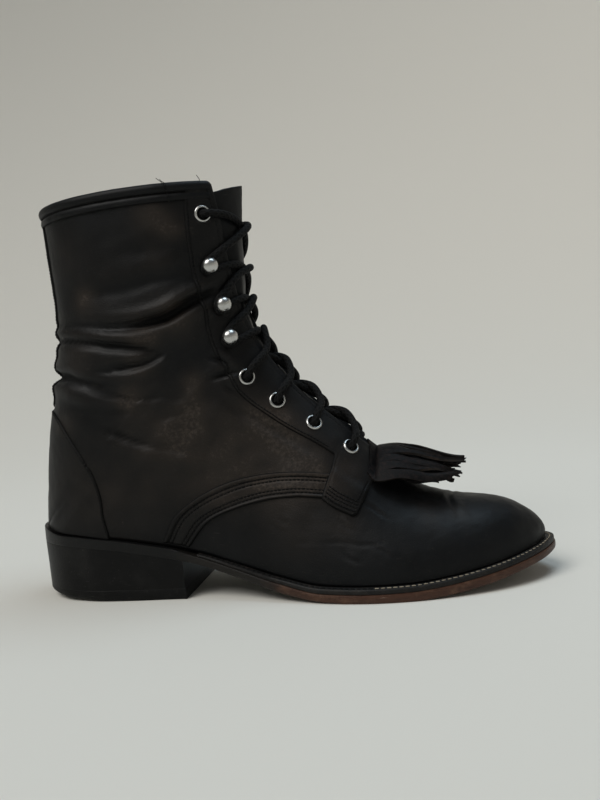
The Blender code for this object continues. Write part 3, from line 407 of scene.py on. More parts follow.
def foldHeights(points, normals, pool, poolNormals, fold, axes, lift):
    path, width, above, below = fold
    knots = np.arange(len(path))
    dense = np.linspace(0, knots[-1], 12 * (len(path) - 1) + 1)
    a, b, depth = (hermite(knots, column, dense) for column in zip(*path))
    picks = nearestOnGrid(pool, np.stack([a, b], axis=1), axes)
    line, lineNormals = pool[picks], poolNormals[picks]
    line = np.stack([np.convolve(np.pad(line[:, k], 2, mode="edge"), np.ones(5) / 5, "valid") for k in range(3)], 1)
    tangents = unitRows(np.gradient(line, axis=0))
    across = unitRows(np.cross(lineNormals, tangents))
    across *= np.where(across[:, lift:lift + 1] < 0.0, -1.0, 1.0)
    heights = np.zeros(len(points))
    reach = 5.0 * width
    near = np.all((points > line.min(axis=0) - reach) & (points < line.max(axis=0) + reach), axis=1)
    spots = points[near]
    if len(spots) == 0:
        return heights
    miss = ((spots[:, None, :] - line[None, :, :]) ** 2).sum(axis=2)
    pick = np.argmin(miss, axis=1)
    offset = spots - line[pick]
    s = (offset * across[pick]).sum(axis=1)
    past = np.sqrt(np.maximum(miss[np.arange(len(spots)), pick] - s * s, 0.0))
    fade = np.exp(-(np.maximum(past - 1.5, 0.0) / (1.5 * width)) ** 2)
    lips = folds["lips"] * (above * np.exp(-((s - 2.0 * width) / (1.35 * width)) ** 2)
                            + below * np.exp(-((s + 2.0 * width) / (1.35 * width)) ** 2))
    heights[near] = np.maximum(depth[pick], 0.0) * fade * (lips - np.exp(-(s / width) ** 2))
    return heights


rowLine = np.arange(0.0, collarRow + 0.5 * folds["rowStep"], folds["rowStep"])
tLine = np.linspace(0.0, 1.0, folds["columns"])


def gridNormals(grids):
    normals = {}
    firstSound = int(0.4 / folds["rowStep"])
    for side, points in grids.items():
        n = unitRows(np.cross(np.gradient(points, axis=0), np.gradient(points, axis=1)) * side)
        n[:firstSound] = n[firstSound]
        normals[side] = n
    ridge = unitRows(normals[outer][:, -1] + normals[inner][:, -1])
    back = unitRows(normals[outer][:, 0] + normals[inner][:, 0])
    shaft = rowLine >= heelRow
    for n in normals.values():
        n[:, -1] = ridge
        n[shaft, 0] = back[shaft]
    return normals


def blendAnkle(points):
    spread = 14
    weights = np.exp(-(np.arange(-spread, spread + 1) / 7.0) ** 2)
    weights /= weights.sum()
    padded = np.concatenate([points[:1].repeat(spread, 0), points, points[-1:].repeat(spread, 0)])
    smooth = sum(w * padded[k:k + len(points)] for k, w in enumerate(weights))
    a, b, c, d = folds["ankleRows"]
    window = (smoothstep(a, b, rowLine) * (1.0 - smoothstep(c, d, rowLine)))[:, None, None]
    window = window * smoothstep(0.05, 0.25, tLine)[None, :, None]
    return points + window * (smooth - points)


def shiftPath(path, side):
    if side == outer:
        return path
    dx, dz = folds["innerShift"]
    moved = []
    for x, z, depth in path:
        share = float(smoothstep(-112.0, -92.0, x))
        moved.append((x + share * dx, z + share * dz, depth * (1.0 - share * (1.0 - folds["innerShare"]))))
    return moved


def lumps(points, size, seed):
    shift = Vector((seed, 2.0 * seed, -seed))
    flat = points.reshape(-1, 3) / size
    return np.array([noise.noise(Vector(p) + shift) for p in flat]).reshape(points.shape[:-1])


def makeSkin():
    grids = {side: blendAnkle(np.array([sectionPoints(row, side, tLine) for row in rowLine])) for side in (outer, inner)}
    normals = gridNormals(grids)
    shape = grids[outer].shape[:2]
    front = rowLine <= last["throatRow"]
    pool = np.concatenate([grids[side][front].reshape(-1, 3) for side in (outer, inner)])
    poolNormals = np.concatenate([normals[side][front].reshape(-1, 3) for side in (outer, inner)])
    heights, rub = {}, {}
    for side in (outer, inner):
        flat, flatNormals = grids[side].reshape(-1, 3), normals[side].reshape(-1, 3)
        total = np.zeros(len(flat))
        for path, width, above, below in folds["side"]:
            moved = (shiftPath(path, side), width, above, below)
            total += foldHeights(flat, flatNormals, flat, flatNormals, moved, (0, 2), 2)
        for fold in folds["vamp"]:
            total += foldHeights(flat, flatNormals, pool, poolNormals, fold, (0, 1), 0)
        # rubbed wear, and in the broad patches a painted sheen
        worn = np.zeros(len(flat))
        dx, dz = folds["innerShift"] if side == inner else (0.0, 0.0)
        for x, z, radius, height in folds["swells"]:
            total += height * np.exp(-((flat[:, 0] - x - dx) ** 2 + (flat[:, 2] - z - dz) ** 2) / radius ** 2)
        for x, z, radius, strength in rubAndSheenPatches["side"]:
            worn += strength * np.exp(-((flat[:, 0] - x - dx) ** 2 + (flat[:, 2] - z - dz) ** 2) / radius ** 2)
        for x, y, radius, strength in rubAndSheenPatches["vamp"]:
            low = np.exp(-np.maximum(flat[:, 2] - 55.0, 0.0) / 4.0)
            worn += strength * low * np.exp(-((flat[:, 0] - x) ** 2 + (flat[:, 1] - y) ** 2) / radius ** 2)
        heights[side] = total.reshape(shape)
        rub[side] = worn.reshape(shape)
    along = {side: arcFromBack(grids[side]) for side in grids}
    shared = 0.5 * (heights[outer][:, 0] + heights[inner][:, 0])
    skin = {}
    moved = {}
    for side in (outer, inner):
        join = np.exp(-(along[side] / 9.0) ** 2) * (rowLine >= heelRow)[:, None]
        heights[side] += join * (shared[:, None] - heights[side][:, :1])
        fade = smoothstep(0.0, folds["featherFade"], grids[side][:, :, 2] - seat(grids[side][:, :, 0]))
        small = lumps(grids[side], 7.0, 3.1) + 0.6 * lumps(grids[side], 3.4, 8.4)
        body = smoothstep(0.3, 1.2, rowLine)[:, None]
        heights[side] = fade * (heights[side] + folds["grainLumps"] * body * small)
        moved[side] = grids[side] + heights[side][:, :, None] * normals[side]
        patchy = 0.8 + 0.4 * lumps(grids[side], 9.0, 17.0)
        rub[side] = np.clip(rub[side] * patchy + rubAndSheenPatches["ridges"] * np.maximum(heights[side], 0.0), 0.0, 1.0)
    middle = 0.5 * (moved[outer][:, -1] + moved[inner][:, -1])
    for side in (outer, inner):
        moved[side][:, -1] = middle
    after = gridNormals(moved)
    for side in (outer, inner):
        skin[side] = {"points": moved[side], "normals": after[side], "rub": rub[side], "fold": heights[side],
                      "fromBack": arcFromBack(moved[side])}
    return skin


def arcFromBack(points):
    steps = np.linalg.norm(np.diff(points, axis=1), axis=2)
    return np.concatenate([np.zeros((len(points), 1)), np.cumsum(steps, axis=1)], axis=1)


makeCamera()
makeStudio()
print("camera and studio ready")
skin = makeSkin()
print("creased skin ready")


def skinAt(side, rows, ts, key):
    values = skin[side][key]
    r = np.clip(np.asarray(rows, float) / folds["rowStep"], 0.0, len(rowLine) - 1.001)
    c = np.clip(np.asarray(ts, float) * (len(tLine) - 1), 0.0, len(tLine) - 1.001)
    i, j = r.astype(int), c.astype(int)
    fr, fc = r - i, c - j
    if values.ndim == 3:
        fr, fc = fr[..., None], fc[..., None]
    return ((1 - fr) * ((1 - fc) * values[i, j] + fc * values[i, j + 1])
            + fr * ((1 - fc) * values[i + 1, j] + fc * values[i + 1, j + 1]))


def onSkin(side, row, t, out=0.0):
    return skinAt(side, row, t, "points") + np.asarray(out)[..., None] * unitRows(skinAt(side, row, t, "normals"))


def tFromBack(side, row, distance):
    r = min(max(row / folds["rowStep"], 0.0), len(rowLine) - 1.001)
    i = int(r)
    found = [np.interp(distance, skin[side]["fromBack"][k], tLine) for k in (i, i + 1)]
    return found[0] + (r - i) * (found[1] - found[0])


def tFromFront(side, row, distance):
    r = min(max(row / folds["rowStep"], 0.0), len(rowLine) - 1.001)
    i = int(r)
    lengths = [skin[side]["fromBack"][k] for k in (i, i + 1)]
    found = [np.interp(length[-1] - np.asarray(distance), length, tLine) for length in lengths]
    return found[0] + (r - i) * (found[1] - found[0])


def findOnSkin(side, x, z):
    points = skin[side]["points"]
    miss = (points[:, :, 0] - x) ** 2 + (points[:, :, 2] - z) ** 2
    i, j = np.unravel_index(np.argmin(miss), miss.shape)
    spot = np.array([rowLine[i], tLine[j]])
    for _ in range(6):
        here = onSkin(side, spot[0], spot[1])
        byRow = (onSkin(side, spot[0] + 0.05, spot[1]) - here) / 0.05
        byT = (onSkin(side, spot[0], spot[1] + 0.006) - here) / 0.006
        jacobian = np.array([[byRow[0], byT[0]], [byRow[2], byT[2]]])
        step = np.linalg.lstsq(jacobian, np.array([x - here[0], z - here[2]]), rcond=None)[0]
        spot = np.clip(spot + np.clip(step, (-0.3, -0.03), (0.3, 0.03)), (0.3, 0.0), (collarRow, 1.0))
    return float(spot[0]), float(spot[1])


# mesh helpers: points in millimetres, a mask for each point
def makePiece(name, mesh, replaced=(), materials=()):
    piece = bpy.data.objects.new(name, mesh)
    bpy.context.scene.collection.objects.link(piece)
    for finish in materials:
        mesh.materials.append(finish)
    mesh.shade_smooth()
    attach(piece, "root")
    if replaced:
        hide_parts(*replaced)
    return piece


def meshFrom(name, points, faces, masks=None, materialIndex=None):
    mesh = bpy.data.meshes.new(name)
    mesh.from_pydata((np.asarray(points, float) * mm).tolist(), [], faces)
    for key, values in (masks or {}).items():
        layer = mesh.attributes.new(key, "FLOAT", "POINT")
        layer.data.foreach_set("value", np.asarray(values, np.float32))
    if materialIndex is not None:
        mesh.polygons.foreach_set("material_index", np.asarray(materialIndex, np.int32))
    mesh.update()
    return mesh


def gridFaces(rows, cols, start=0, turned=False):
    i, j = np.meshgrid(np.arange(rows - 1), np.arange(cols - 1), indexing="ij")
    a = start + (i * cols + j).ravel()
    quads = np.stack([a, a + cols, a + cols + 1, a + 1], axis=1)
    return (quads[:, ::-1] if turned else quads).tolist()


def borderFaces(rows, cols, first, second, turned=False):
    ring = [(0, j) for j in range(cols)] + [(i, cols - 1) for i in range(1, rows)]
    ring += [(rows - 1, j) for j in range(cols - 2, -1, -1)] + [(i, 0) for i in range(rows - 2, 0, -1)]
    index = [i * cols + j for i, j in ring]
    faces = []
    for a, b in zip(index, index[1:] + index[:1]):
        face = [first + a, first + b, second + b, second + a]
        faces.append(face[::-1] if turned else face)
    return faces


def slabMesh(name, top, under, turned, masks=None, edgeMaterial=None):
    rows, cols = top.shape[:2]
    count = rows * cols
    points = np.concatenate([top.reshape(-1, 3), under.reshape(-1, 3)])
    faces = gridFaces(rows, cols, 0, turned) + gridFaces(rows, cols, count, not turned)
    walls = borderFaces(rows, cols, 0, count, turned)
    doubled = {key: np.concatenate([values.ravel(), values.ravel()]) for key, values in (masks or {}).items()}
    index = None
    if edgeMaterial is not None:
        index = [0] * len(faces) + [edgeMaterial] * len(walls)
    return meshFrom(name, points, faces + walls, doubled, index)


def joinMeshes(name, meshes):
    bm = bmesh.new()
    for mesh in meshes:
        bm.from_mesh(mesh)
        bpy.data.meshes.remove(mesh)
    joined = bpy.data.meshes.new(name)
    bm.to_mesh(joined)
    bm.free()
    return joined


# shares from 0 to 1 across a panel, close together at both edges
def edgeShares(length, step, radius=1.1):
    near = radius * np.array([0.0, 0.06, 0.2, 0.45, 0.8, 1.3])
    if length < 4.0 * near[-1]:
        near = near * length / (4.0 * near[-1])
    middle = np.linspace(near[-1], length - near[-1], max(int(round((length - 2.0 * near[-1]) / step)), 2) + 1)
    return np.concatenate([near[:-1], middle, (length - near[:-1])[::-1]]) / length


def rolledHeight(distance, thick, radius):
    u = np.clip(distance / radius, 0.0, 1.0)
    return thick * np.sqrt(1.0 - (1.0 - u) ** 2)


def pickSide(sideGrid, rows, ts, key):
    a, b = (skinAt(side, rows, ts, key) for side in (outer, inner))
    mask = sideGrid == outer
    return np.where(mask[..., None] if a.ndim == 3 else mask, a, b)


def borderDistance(base, openEnds):
    lines = {"rowStart": base[0], "rowEnd": base[-1], "colStart": base[:, 0], "colEnd": base[:, -1]}
    lines = [line for key, line in lines.items() if key not in openEnds]
    spots = base.reshape(-1, 3)
    best = np.full(len(spots), np.inf)
    for line in lines:
        for a, b in zip(line, line[1:]):
            run = b - a
            share = np.clip((spots - a) @ run / max(run @ run, 1e-9), 0.0, 1.0)
            best = np.minimum(best, np.linalg.norm(spots - a - share[:, None] * run, axis=1))
    return best.reshape(base.shape[:2])


# a leather panel that lies on the upper, with a rounded edge sunk a little into it
def panelMesh(name, sideGrid, rows, ts, thick, turned, relief=None, openEnds=(), sink=0.45, grooves=0.0):
    base = pickSide(sideGrid, rows, ts, "points")
    normals = unitRows(pickSide(sideGrid, rows, ts, "normals"))
    distance = borderDistance(base, openEnds)
    height = rolledHeight(distance, thick, thick) - 0.05
    if relief is not None:
        height = height + relief(distance)
    border = distance <= 1e-4
    height = np.where(border, -0.2, height)
    top = base + height[..., None] * normals
    under = base - sink * normals
    # the edge mask paints shade along the panel's edge and in the given grooves, and adds wear where the edge is rubbed
    masks = {"rub": pickSide(sideGrid, rows, ts, "rub"), "fold": pickSide(sideGrid, rows, ts, "fold"),
             "edge": np.maximum(1.0 - smoothstep(0.2, 1.8, distance), grooves)}
    return slabMesh(name, top, under, turned, masks)


# shader groups that several finishes share
def newGroup(name, inputs, outputs):
    tree = bpy.data.node_groups.new(name, "ShaderNodeTree")
    for label, kind, value in inputs:
        socket = tree.interface.new_socket(label, in_out="INPUT", socket_type=kind)
        if value is not None:
            socket.default_value = value
    for label, kind in outputs:
        tree.interface.new_socket(label, in_out="OUTPUT", socket_type=kind)
    return tree, tree.nodes.new("NodeGroupInput"), tree.nodes.new("NodeGroupOutput")


def addNode(tree, kind, links=None, **settings):
    node = tree.nodes.new(kind)
    for key, value in settings.items():
        setattr(node, key, value)
    for key, value in (links or {}).items():
        socket = node.inputs[key]
        if isinstance(value, bpy.types.NodeSocket):
            tree.links.new(value, socket)
        else:
            socket.default_value = value
    return node


def mathNode(tree, operation, a, b=0.0, clamp=False):
    return addNode(tree, "ShaderNodeMath", {0: a, 1: b}, operation=operation, use_clamp=clamp).outputs[0]


def mixColour(tree, share, a, b):
    node = tree.nodes.new("ShaderNodeMix")
    node.data_type = "RGBA"
    for index, value in ((0, share), (6, a), (7, b)):
        if isinstance(value, bpy.types.NodeSocket):
            tree.links.new(value, node.inputs[index])
        else:
            node.inputs[index].default_value = value
    return node.outputs[2]


def rangeNode(tree, value, low, high, outLow=0.0, outHigh=1.0):
    node = addNode(tree, "ShaderNodeMapRange", {0: value, 1: low, 2: high, 3: outLow, 4: outHigh})
    node.interpolation_type = "SMOOTHSTEP"
    return node.outputs[0]


def noiseNode(tree, vector, scale, detail=3.0, roughness=0.55):
    links = {"Vector": vector, "Scale": scale, "Detail": detail, "Roughness": roughness}
    return addNode(tree, "ShaderNodeTexNoise", links).outputs[0]


def makeGrainGroup():
    tree, start, end = newGroup(
        "leatherGrain",
        [("Pebbles", "NodeSocketFloat", 700.0), ("Wrinkles", "NodeSocketFloat", 0.4)],
        [("Height", "NodeSocketFloat"), ("Pores", "NodeSocketFloat")])
    place = addNode(tree, "ShaderNodeTexCoord").outputs["Object"]
    swirl = addNode(tree, "ShaderNodeTexNoise", {"Vector": place, "Scale": 180.0, "Detail": 2.0}).outputs[1]
    bent = addNode(tree, "ShaderNodeMix", {0: 0.0022, 4: place, 5: swirl}, data_type="VECTOR").outputs[1]
    cells = addNode(tree, "ShaderNodeTexVoronoi", {"Vector": bent, "Scale": start.outputs["Pebbles"]},
                    feature="DISTANCE_TO_EDGE").outputs["Distance"]
    pebbles = rangeNode(tree, cells, 0.0, 0.28)
    fine = noiseNode(tree, place, 2600.0, 2.0)
    long = noiseNode(tree, place, 260.0, 4.0, 0.65)
    wrinkle = mathNode(tree, "MULTIPLY", long, start.outputs["Wrinkles"])
    height = mathNode(tree, "ADD", mathNode(tree, "MULTIPLY", pebbles, 0.5), mathNode(tree, "MULTIPLY", fine, 0.25))
    tree.links.new(mathNode(tree, "ADD", height, wrinkle), end.inputs["Height"])
    tree.links.new(mathNode(tree, "SUBTRACT", 1.0, pebbles), end.inputs["Pores"])
    return tree


def makeWearGroup():
    tree, start, end = newGroup(
        "rubbedWear",
        [("Amount", "NodeSocketFloat", 0.0), ("Scale", "NodeSocketFloat", 140.0), ("Scratches", "NodeSocketFloat", 0.3),
         ("Sharpness", "NodeSocketFloat", 2.6)],
        [("Mask", "NodeSocketFloat"), ("Marks", "NodeSocketFloat")])
    place = addNode(tree, "ShaderNodeTexCoord").outputs["Object"]
    cloud = noiseNode(tree, place, start.outputs["Scale"], 8.0, 0.74)
    lifted = mathNode(tree, "ADD", start.outputs["Amount"], mathNode(tree, "SUBTRACT", cloud, 0.62))
    tree.links.new(mathNode(tree, "MULTIPLY", lifted, start.outputs["Sharpness"], True), end.inputs["Mask"])
    slanted = addNode(tree, "ShaderNodeMapping", {"Vector": place, "Rotation": (0.3, 0.5, 0.2), "Scale": (1.0, 1.0, 14.0)})
    lines = noiseNode(tree, slanted.outputs[0], 160.0, 2.0)
    marks = rangeNode(tree, lines, 0.68, 0.74)
    patch = rangeNode(tree, noiseNode(tree, place, 46.0, 2.0), 0.5, 0.62)
    scratched = mathNode(tree, "MULTIPLY", mathNode(tree, "MULTIPLY", marks, patch), start.outputs["Scratches"])
    tree.links.new(scratched, end.inputs["Marks"])
    return tree


def makeDustGroup():
    tree, start, end = newGroup("lintAndDust", [("Amount", "NodeSocketFloat", 0.3)], [("Mask", "NodeSocketFloat")])
    place = addNode(tree, "ShaderNodeTexCoord").outputs["Object"]
    specks = rangeNode(tree, noiseNode(tree, place, 900.0, 1.0), 0.70, 0.78)
    film = rangeNode(tree, noiseNode(tree, place, 60.0, 4.0), 0.45, 0.8)
    both = mathNode(tree, "ADD", mathNode(tree, "MULTIPLY", specks, 0.7), mathNode(tree, "MULTIPLY", film, 0.3))
    tree.links.new(mathNode(tree, "MULTIPLY", both, start.outputs["Amount"]), end.inputs["Mask"])
    return tree


groups = {"grain": makeGrainGroup(), "wear": makeWearGroup(), "dust": makeDustGroup()}
finishes = {}


def newFinish(name):
    made = bpy.data.materials.new(name)
    made.use_nodes = True
    tree = made.node_tree
    finishes[name] = made
    return tree, tree.nodes["Principled BSDF"]


def useGroup(tree, key, values):
    node = tree.nodes.new("ShaderNodeGroup")
    node.node_tree = groups[key]
    for label, value in values.items():
        if isinstance(value, bpy.types.NodeSocket):
            tree.links.new(value, node.inputs[label])
        else:
            node.inputs[label].default_value = value
    return node


def maskNode(tree, name):
    return addNode(tree, "ShaderNodeAttribute", attribute_name=name).outputs["Fac"]


def bumpInto(tree, shader, height, strength, distance):
    bump = addNode(tree, "ShaderNodeBump", {"Strength": strength, "Distance": distance, "Height": height})
    tree.links.new(bump.outputs["Normal"], shader.inputs["Normal"])


leathers = {
    # name: base, worn colour (dimmed, it also tints the broad wash that paints a sheen), wear offset, pebbles a metre,
    # bump, roughness, coat, gloss level
    "upperLeather": ((0.0020, 0.0023, 0.0027), (0.046, 0.036, 0.029), 0.0, 760.0, 0.30, 0.43, 0.02, 0.165),
    "overlayLeather": ((0.0028, 0.0028, 0.0029), (0.048, 0.037, 0.030), 0.02, 820.0, 0.30, 0.42, 0.02, 0.17),
    "kiltieLeather": ((0.0026, 0.0024, 0.0025), (0.016, 0.011, 0.0105), 0.15, 700.0, 0.50, 0.50, 0.0, 0.10),
}


def makeLeather(name):
    base, worn, offset, pebbles, bump, roughness, coat, gloss = leathers[name]
    tree, shader = newFinish(name)
    grain = useGroup(tree, "grain", {"Pebbles": pebbles, "Wrinkles": 0.6})
    rub, fold, edge = (maskNode(tree, key) for key in ("rub", "fold", "edge"))
    rubbedEdge = mathNode(tree, "MULTIPLY", mathNode(tree, "MULTIPLY", rub, edge), 0.25)
    amount = mathNode(tree, "ADD", rangeNode(tree, rub, 0.4, 1.0, 0.0, 0.17), rubbedEdge)
    amount = mathNode(tree, "ADD", amount, offset)
    wear = useGroup(tree, "wear", {"Amount": amount, "Scale": 480.0, "Scratches": 0.3, "Sharpness": 5.0})
    dust = useGroup(tree, "dust", {"Amount": 0.06})
    place = addNode(tree, "ShaderNodeTexCoord").outputs["Object"]
    tone = rangeNode(tree, noiseNode(tree, place, 26.0, 3.0), 0.3, 0.7)
    colour = mixColour(tree, tone, (*[0.72 * v for v in base], 1.0), (*[1.35 * v for v in base], 1.0))
    # the broad wash: partly rubbed wear, partly a painted sheen that lightens the quarter and the counter
    colour = mixColour(tree, mathNode(tree, "MULTIPLY", rub, 1.5, True), colour, (*[0.40 * v for v in worn], 1.0))
    colour = mixColour(tree, wear.outputs["Mask"], colour, (*worn, 1.0))
    colour = mixColour(tree, wear.outputs["Marks"], colour, (0.060, 0.053, 0.048, 1.0))
    # painted shade: the colour goes near black in the troughs of folds and along panel edges and stitch grooves
    trough = rangeNode(tree, fold, -0.15, -1.6, 0.0, 0.9)
    shadow = mathNode(tree, "MAXIMUM", trough, mathNode(tree, "POWER", edge, 1.7))
    colour = mixColour(tree, shadow, colour, (0.0008, 0.0008, 0.0008, 1.0))
    colour = mixColour(tree, dust.outputs["Mask"], colour, (0.085, 0.080, 0.075, 1.0))
    tree.links.new(colour, shader.inputs["Base Color"])
    rough = mathNode(tree, "ADD", mathNode(tree, "MULTIPLY", wear.outputs["Mask"], 0.18), roughness)
    rough = mathNode(tree, "ADD", rough, mathNode(tree, "MULTIPLY", tone, 0.08))
    rough = mathNode(tree, "ADD", rough, mathNode(tree, "MULTIPLY", shadow, 0.35))
    tree.links.new(rough, shader.inputs["Roughness"])
    shader.inputs["Specular IOR Level"].default_value = gloss
    shader.inputs["Coat Weight"].default_value = coat
    shader.inputs["Coat Roughness"].default_value = 0.25
    depth = mathNode(tree, "ADD", mathNode(tree, "MULTIPLY", rub, 0.7), 0.5)
    crest = rangeNode(tree, mathNode(tree, "ABSOLUTE", fold), 0.1, 1.0, 0.25, 1.8)
    wrinkles = mathNode(tree, "MULTIPLY", noiseNode(tree, place, 420.0, 5.0, 0.7), crest)
    height = mathNode(tree, "ADD", mathNode(tree, "MULTIPLY", grain.outputs["Height"], depth), wrinkles)
    bumpInto(tree, shader, height, bump, 0.00035)


def makeLiningFinish():
    tree, shader = newFinish("liningLeather")
    grain = useGroup(tree, "grain", {"Pebbles": 420.0, "Wrinkles": 0.8})
    dust = useGroup(tree, "dust", {"Amount": 0.4})
    tone = noiseNode(tree, addNode(tree, "ShaderNodeTexCoord").outputs["Object"], 35.0, 5.0)
    colour = mixColour(tree, rangeNode(tree, tone, 0.3, 0.7), (0.040, 0.029, 0.022, 1.0), (0.085, 0.062, 0.046, 1.0))
    colour = mixColour(tree, dust.outputs["Mask"], colour, (0.16, 0.14, 0.12, 1.0))
    tree.links.new(colour, shader.inputs["Base Color"])
    shader.inputs["Roughness"].default_value = 0.72
    bumpInto(tree, shader, grain.outputs["Height"], 0.4, 0.0003)


soleFinish = {
    "brownFrom": (-0.012, 0.022),    # x over which the blackened waist turns brown
    "brown": (0.058, 0.026, 0.016),
    "dark": (0.026, 0.0125, 0.0085),
    "pale": (0.15, 0.086, 0.055),
    "black": (0.0034, 0.0035, 0.0036),
    "waist": (0.0105, 0.0090, 0.0076),
    "waistFrom": (-0.060, -0.044),
}


def makeSoleFinish():
    tree, shader = newFinish("soleLeather")
    place = addNode(tree, "ShaderNodeTexCoord").outputs["Object"]
    x, y, z = addNode(tree, "ShaderNodeSeparateXYZ", {0: place}).outputs
    layers = addNode(tree, "ShaderNodeMapping", {"Vector": place, "Scale": (1.0, 1.0, 9.0)}).outputs[0]
    streak = noiseNode(tree, layers, 130.0, 5.0, 0.7)
    wear = useGroup(tree, "wear", {"Amount": 0.12, "Scale": 110.0, "Scratches": 0.6})
    grain = useGroup(tree, "grain", {"Pebbles": 520.0, "Wrinkles": 0.9})
    brown, dark, pale, black, waist = ((*soleFinish[key], 1.0) for key in ("brown", "dark", "pale", "black", "waist"))
    colour = mixColour(tree, rangeNode(tree, streak, 0.42, 0.75), brown, dark)
    colour = mixColour(tree, wear.outputs["Mask"], colour, pale)
    cloud = mathNode(tree, "MULTIPLY", mathNode(tree, "SUBTRACT", noiseNode(tree, place, 70.0, 4.0), 0.5), 0.05)
    low, high = soleFinish["brownFrom"]
    dyed = rangeNode(tree, mathNode(tree, "ADD", x, cloud), low, high, 1.0, 0.0)
    colour = mixColour(tree, dyed, colour, mixColour(tree, rangeNode(tree, x, *soleFinish["waistFrom"]), black, waist))
    marks = mathNode(tree, "MULTIPLY", wear.outputs["Marks"], rangeNode(tree, x, *soleFinish["brownFrom"]))
    colour = mixColour(tree, marks, colour, (0.33, 0.25, 0.20, 1.0))
    tree.links.new(colour, shader.inputs["Base Color"])
    rough = mathNode(tree, "ADD", mathNode(tree, "MULTIPLY", wear.outputs["Mask"], 0.25), 0.42)
    tree.links.new(rough, shader.inputs["Roughness"])
    shader.inputs["Specular IOR Level"].default_value = 0.22
    height = mathNode(tree, "ADD", mathNode(tree, "MULTIPLY", streak, 0.8), mathNode(tree, "MULTIPLY", grain.outputs["Height"], 0.4))
    bumpInto(tree, shader, height, 0.35, 0.0004)


def makePlainFinish(name, base, worn, roughness, metallic, amount, bump, pebbles, gloss):
    tree, shader = newFinish(name)
    wear = useGroup(tree, "wear", {"Amount": amount, "Scale": 170.0, "Scratches": 0.3})
    grain = useGroup(tree, "grain", {"Pebbles": pebbles, "Wrinkles": 0.6})
    dust = useGroup(tree, "dust", {"Amount": 0.12 if metallic == 0.0 else 0.03})
    colour = mixColour(tree, wear.outputs["Mask"], (*base, 1.0), (*worn, 1.0))
    colour = mixColour(tree, wear.outputs["Marks"], colour, (*[min(1.6 * v + 0.04, 0.9) for v in worn], 1.0))
    colour = mixColour(tree, dust.outputs["Mask"], colour, (0.20, 0.19, 0.18, 1.0))
    tree.links.new(colour, shader.inputs["Base Color"])
    rough = mathNode(tree, "ADD", mathNode(tree, "MULTIPLY", wear.outputs["Mask"], 0.18), roughness)
    tree.links.new(rough, shader.inputs["Roughness"])
    shader.inputs["Metallic"].default_value = metallic
    shader.inputs["Specular IOR Level"].default_value = gloss
    bumpInto(tree, shader, grain.outputs["Height"], bump, 0.0003)


cordFinish = {"strands": 5.0, "pitch": 3.4}    # strands round the cord, millimetres for one turn


def makeCordFinish():
    tree, shader = newFinish("laceBraid")
    spot = addNode(tree, "ShaderNodeUVMap", uv_map="UVMap").outputs[0]
    u, v, w = addNode(tree, "ShaderNodeSeparateXYZ", {0: spot}).outputs
    turned = mathNode(tree, "MULTIPLY", u, cordFinish["strands"] * 2.0 * math.pi)
    climbed = mathNode(tree, "MULTIPLY", v, 1000.0 / cordFinish["pitch"] * 2.0 * math.pi)
    waves = [mathNode(tree, "SINE", mathNode(tree, kind, turned, climbed)) for kind in ("ADD", "SUBTRACT")]
    weave = mathNode(tree, "MAXIMUM", waves[0], waves[1])
    fuzz = noiseNode(tree, addNode(tree, "ShaderNodeTexCoord").outputs["Object"], 1800.0, 3.0)
    shade = rangeNode(tree, weave, -0.3, 1.0)
    colour = mixColour(tree, shade, (0.0018, 0.0018, 0.0018, 1.0), (0.0065, 0.0063, 0.0063, 1.0))
    dust = useGroup(tree, "dust", {"Amount": 0.12})
    colour = mixColour(tree, dust.outputs["Mask"], colour, (0.045, 0.043, 0.042, 1.0))
    tree.links.new(colour, shader.inputs["Base Color"])
    shader.inputs["Roughness"].default_value = 0.78
    shader.inputs["Specular IOR Level"].default_value = 0.14
    bumpInto(tree, shader, mathNode(tree, "ADD", weave, mathNode(tree, "MULTIPLY", fuzz, 0.5)), 0.5, 0.0004)


for leatherName in leathers:
    makeLeather(leatherName)
makeLiningFinish()
makeSoleFinish()
makeCordFinish()
plainFinishes = {
    # name: base, worn, roughness, metallic, wear, bump, pebbles, gloss level
    "weltLeather": ((0.0060, 0.0055, 0.0052), (0.040, 0.030, 0.024), 0.50, 0.0, 0.12, 0.35, 700.0, 0.22),
    "heelBlack": ((0.0034, 0.0035, 0.0036), (0.020, 0.019, 0.018), 0.42, 0.0, 0.0, 0.14, 520.0, 0.14),
    "liftRubber": ((0.0034, 0.0035, 0.0036), (0.018, 0.017, 0.016), 0.46, 0.0, 0.06, 0.25, 420.0, 0.14),
    "nickel": ((0.52, 0.515, 0.50), (0.32, 0.30, 0.28), 0.27, 1.0, 0.08, 0.06, 600.0, 0.5),
    # a near-black finish for the discs that paint the shade inside the eyelets
    "holeDark": ((0.002, 0.002, 0.002), (0.004, 0.004, 0.004), 0.9, 0.0, 0.0, 0.1, 700.0, 0.1),
    "cutEdge": ((0.0070, 0.0055, 0.0045), (0.045, 0.030, 0.021), 0.80, 0.0, 0.14, 0.5, 900.0, 0.15),
    "blackThread": ((0.0014, 0.0014, 0.0014), (0.008, 0.0075, 0.007), 0.60, 0.0, 0.06, 0.3, 2400.0, 0.12),
    "paleThread": ((0.30, 0.255, 0.19), (0.12, 0.092, 0.066), 0.7, 0.0, 0.16, 0.3, 2400.0, 0.3),
}
for finishName, values in plainFinishes.items():
    makePlainFinish(finishName, *values)
print("finishes ready")


# the lasted upper, creased outside and lined inside
upperLook = {"rowStep": 0.1, "columns": 78, "throatRows": [10.03, 10.06, 10.09, 10.12, 10.16]}


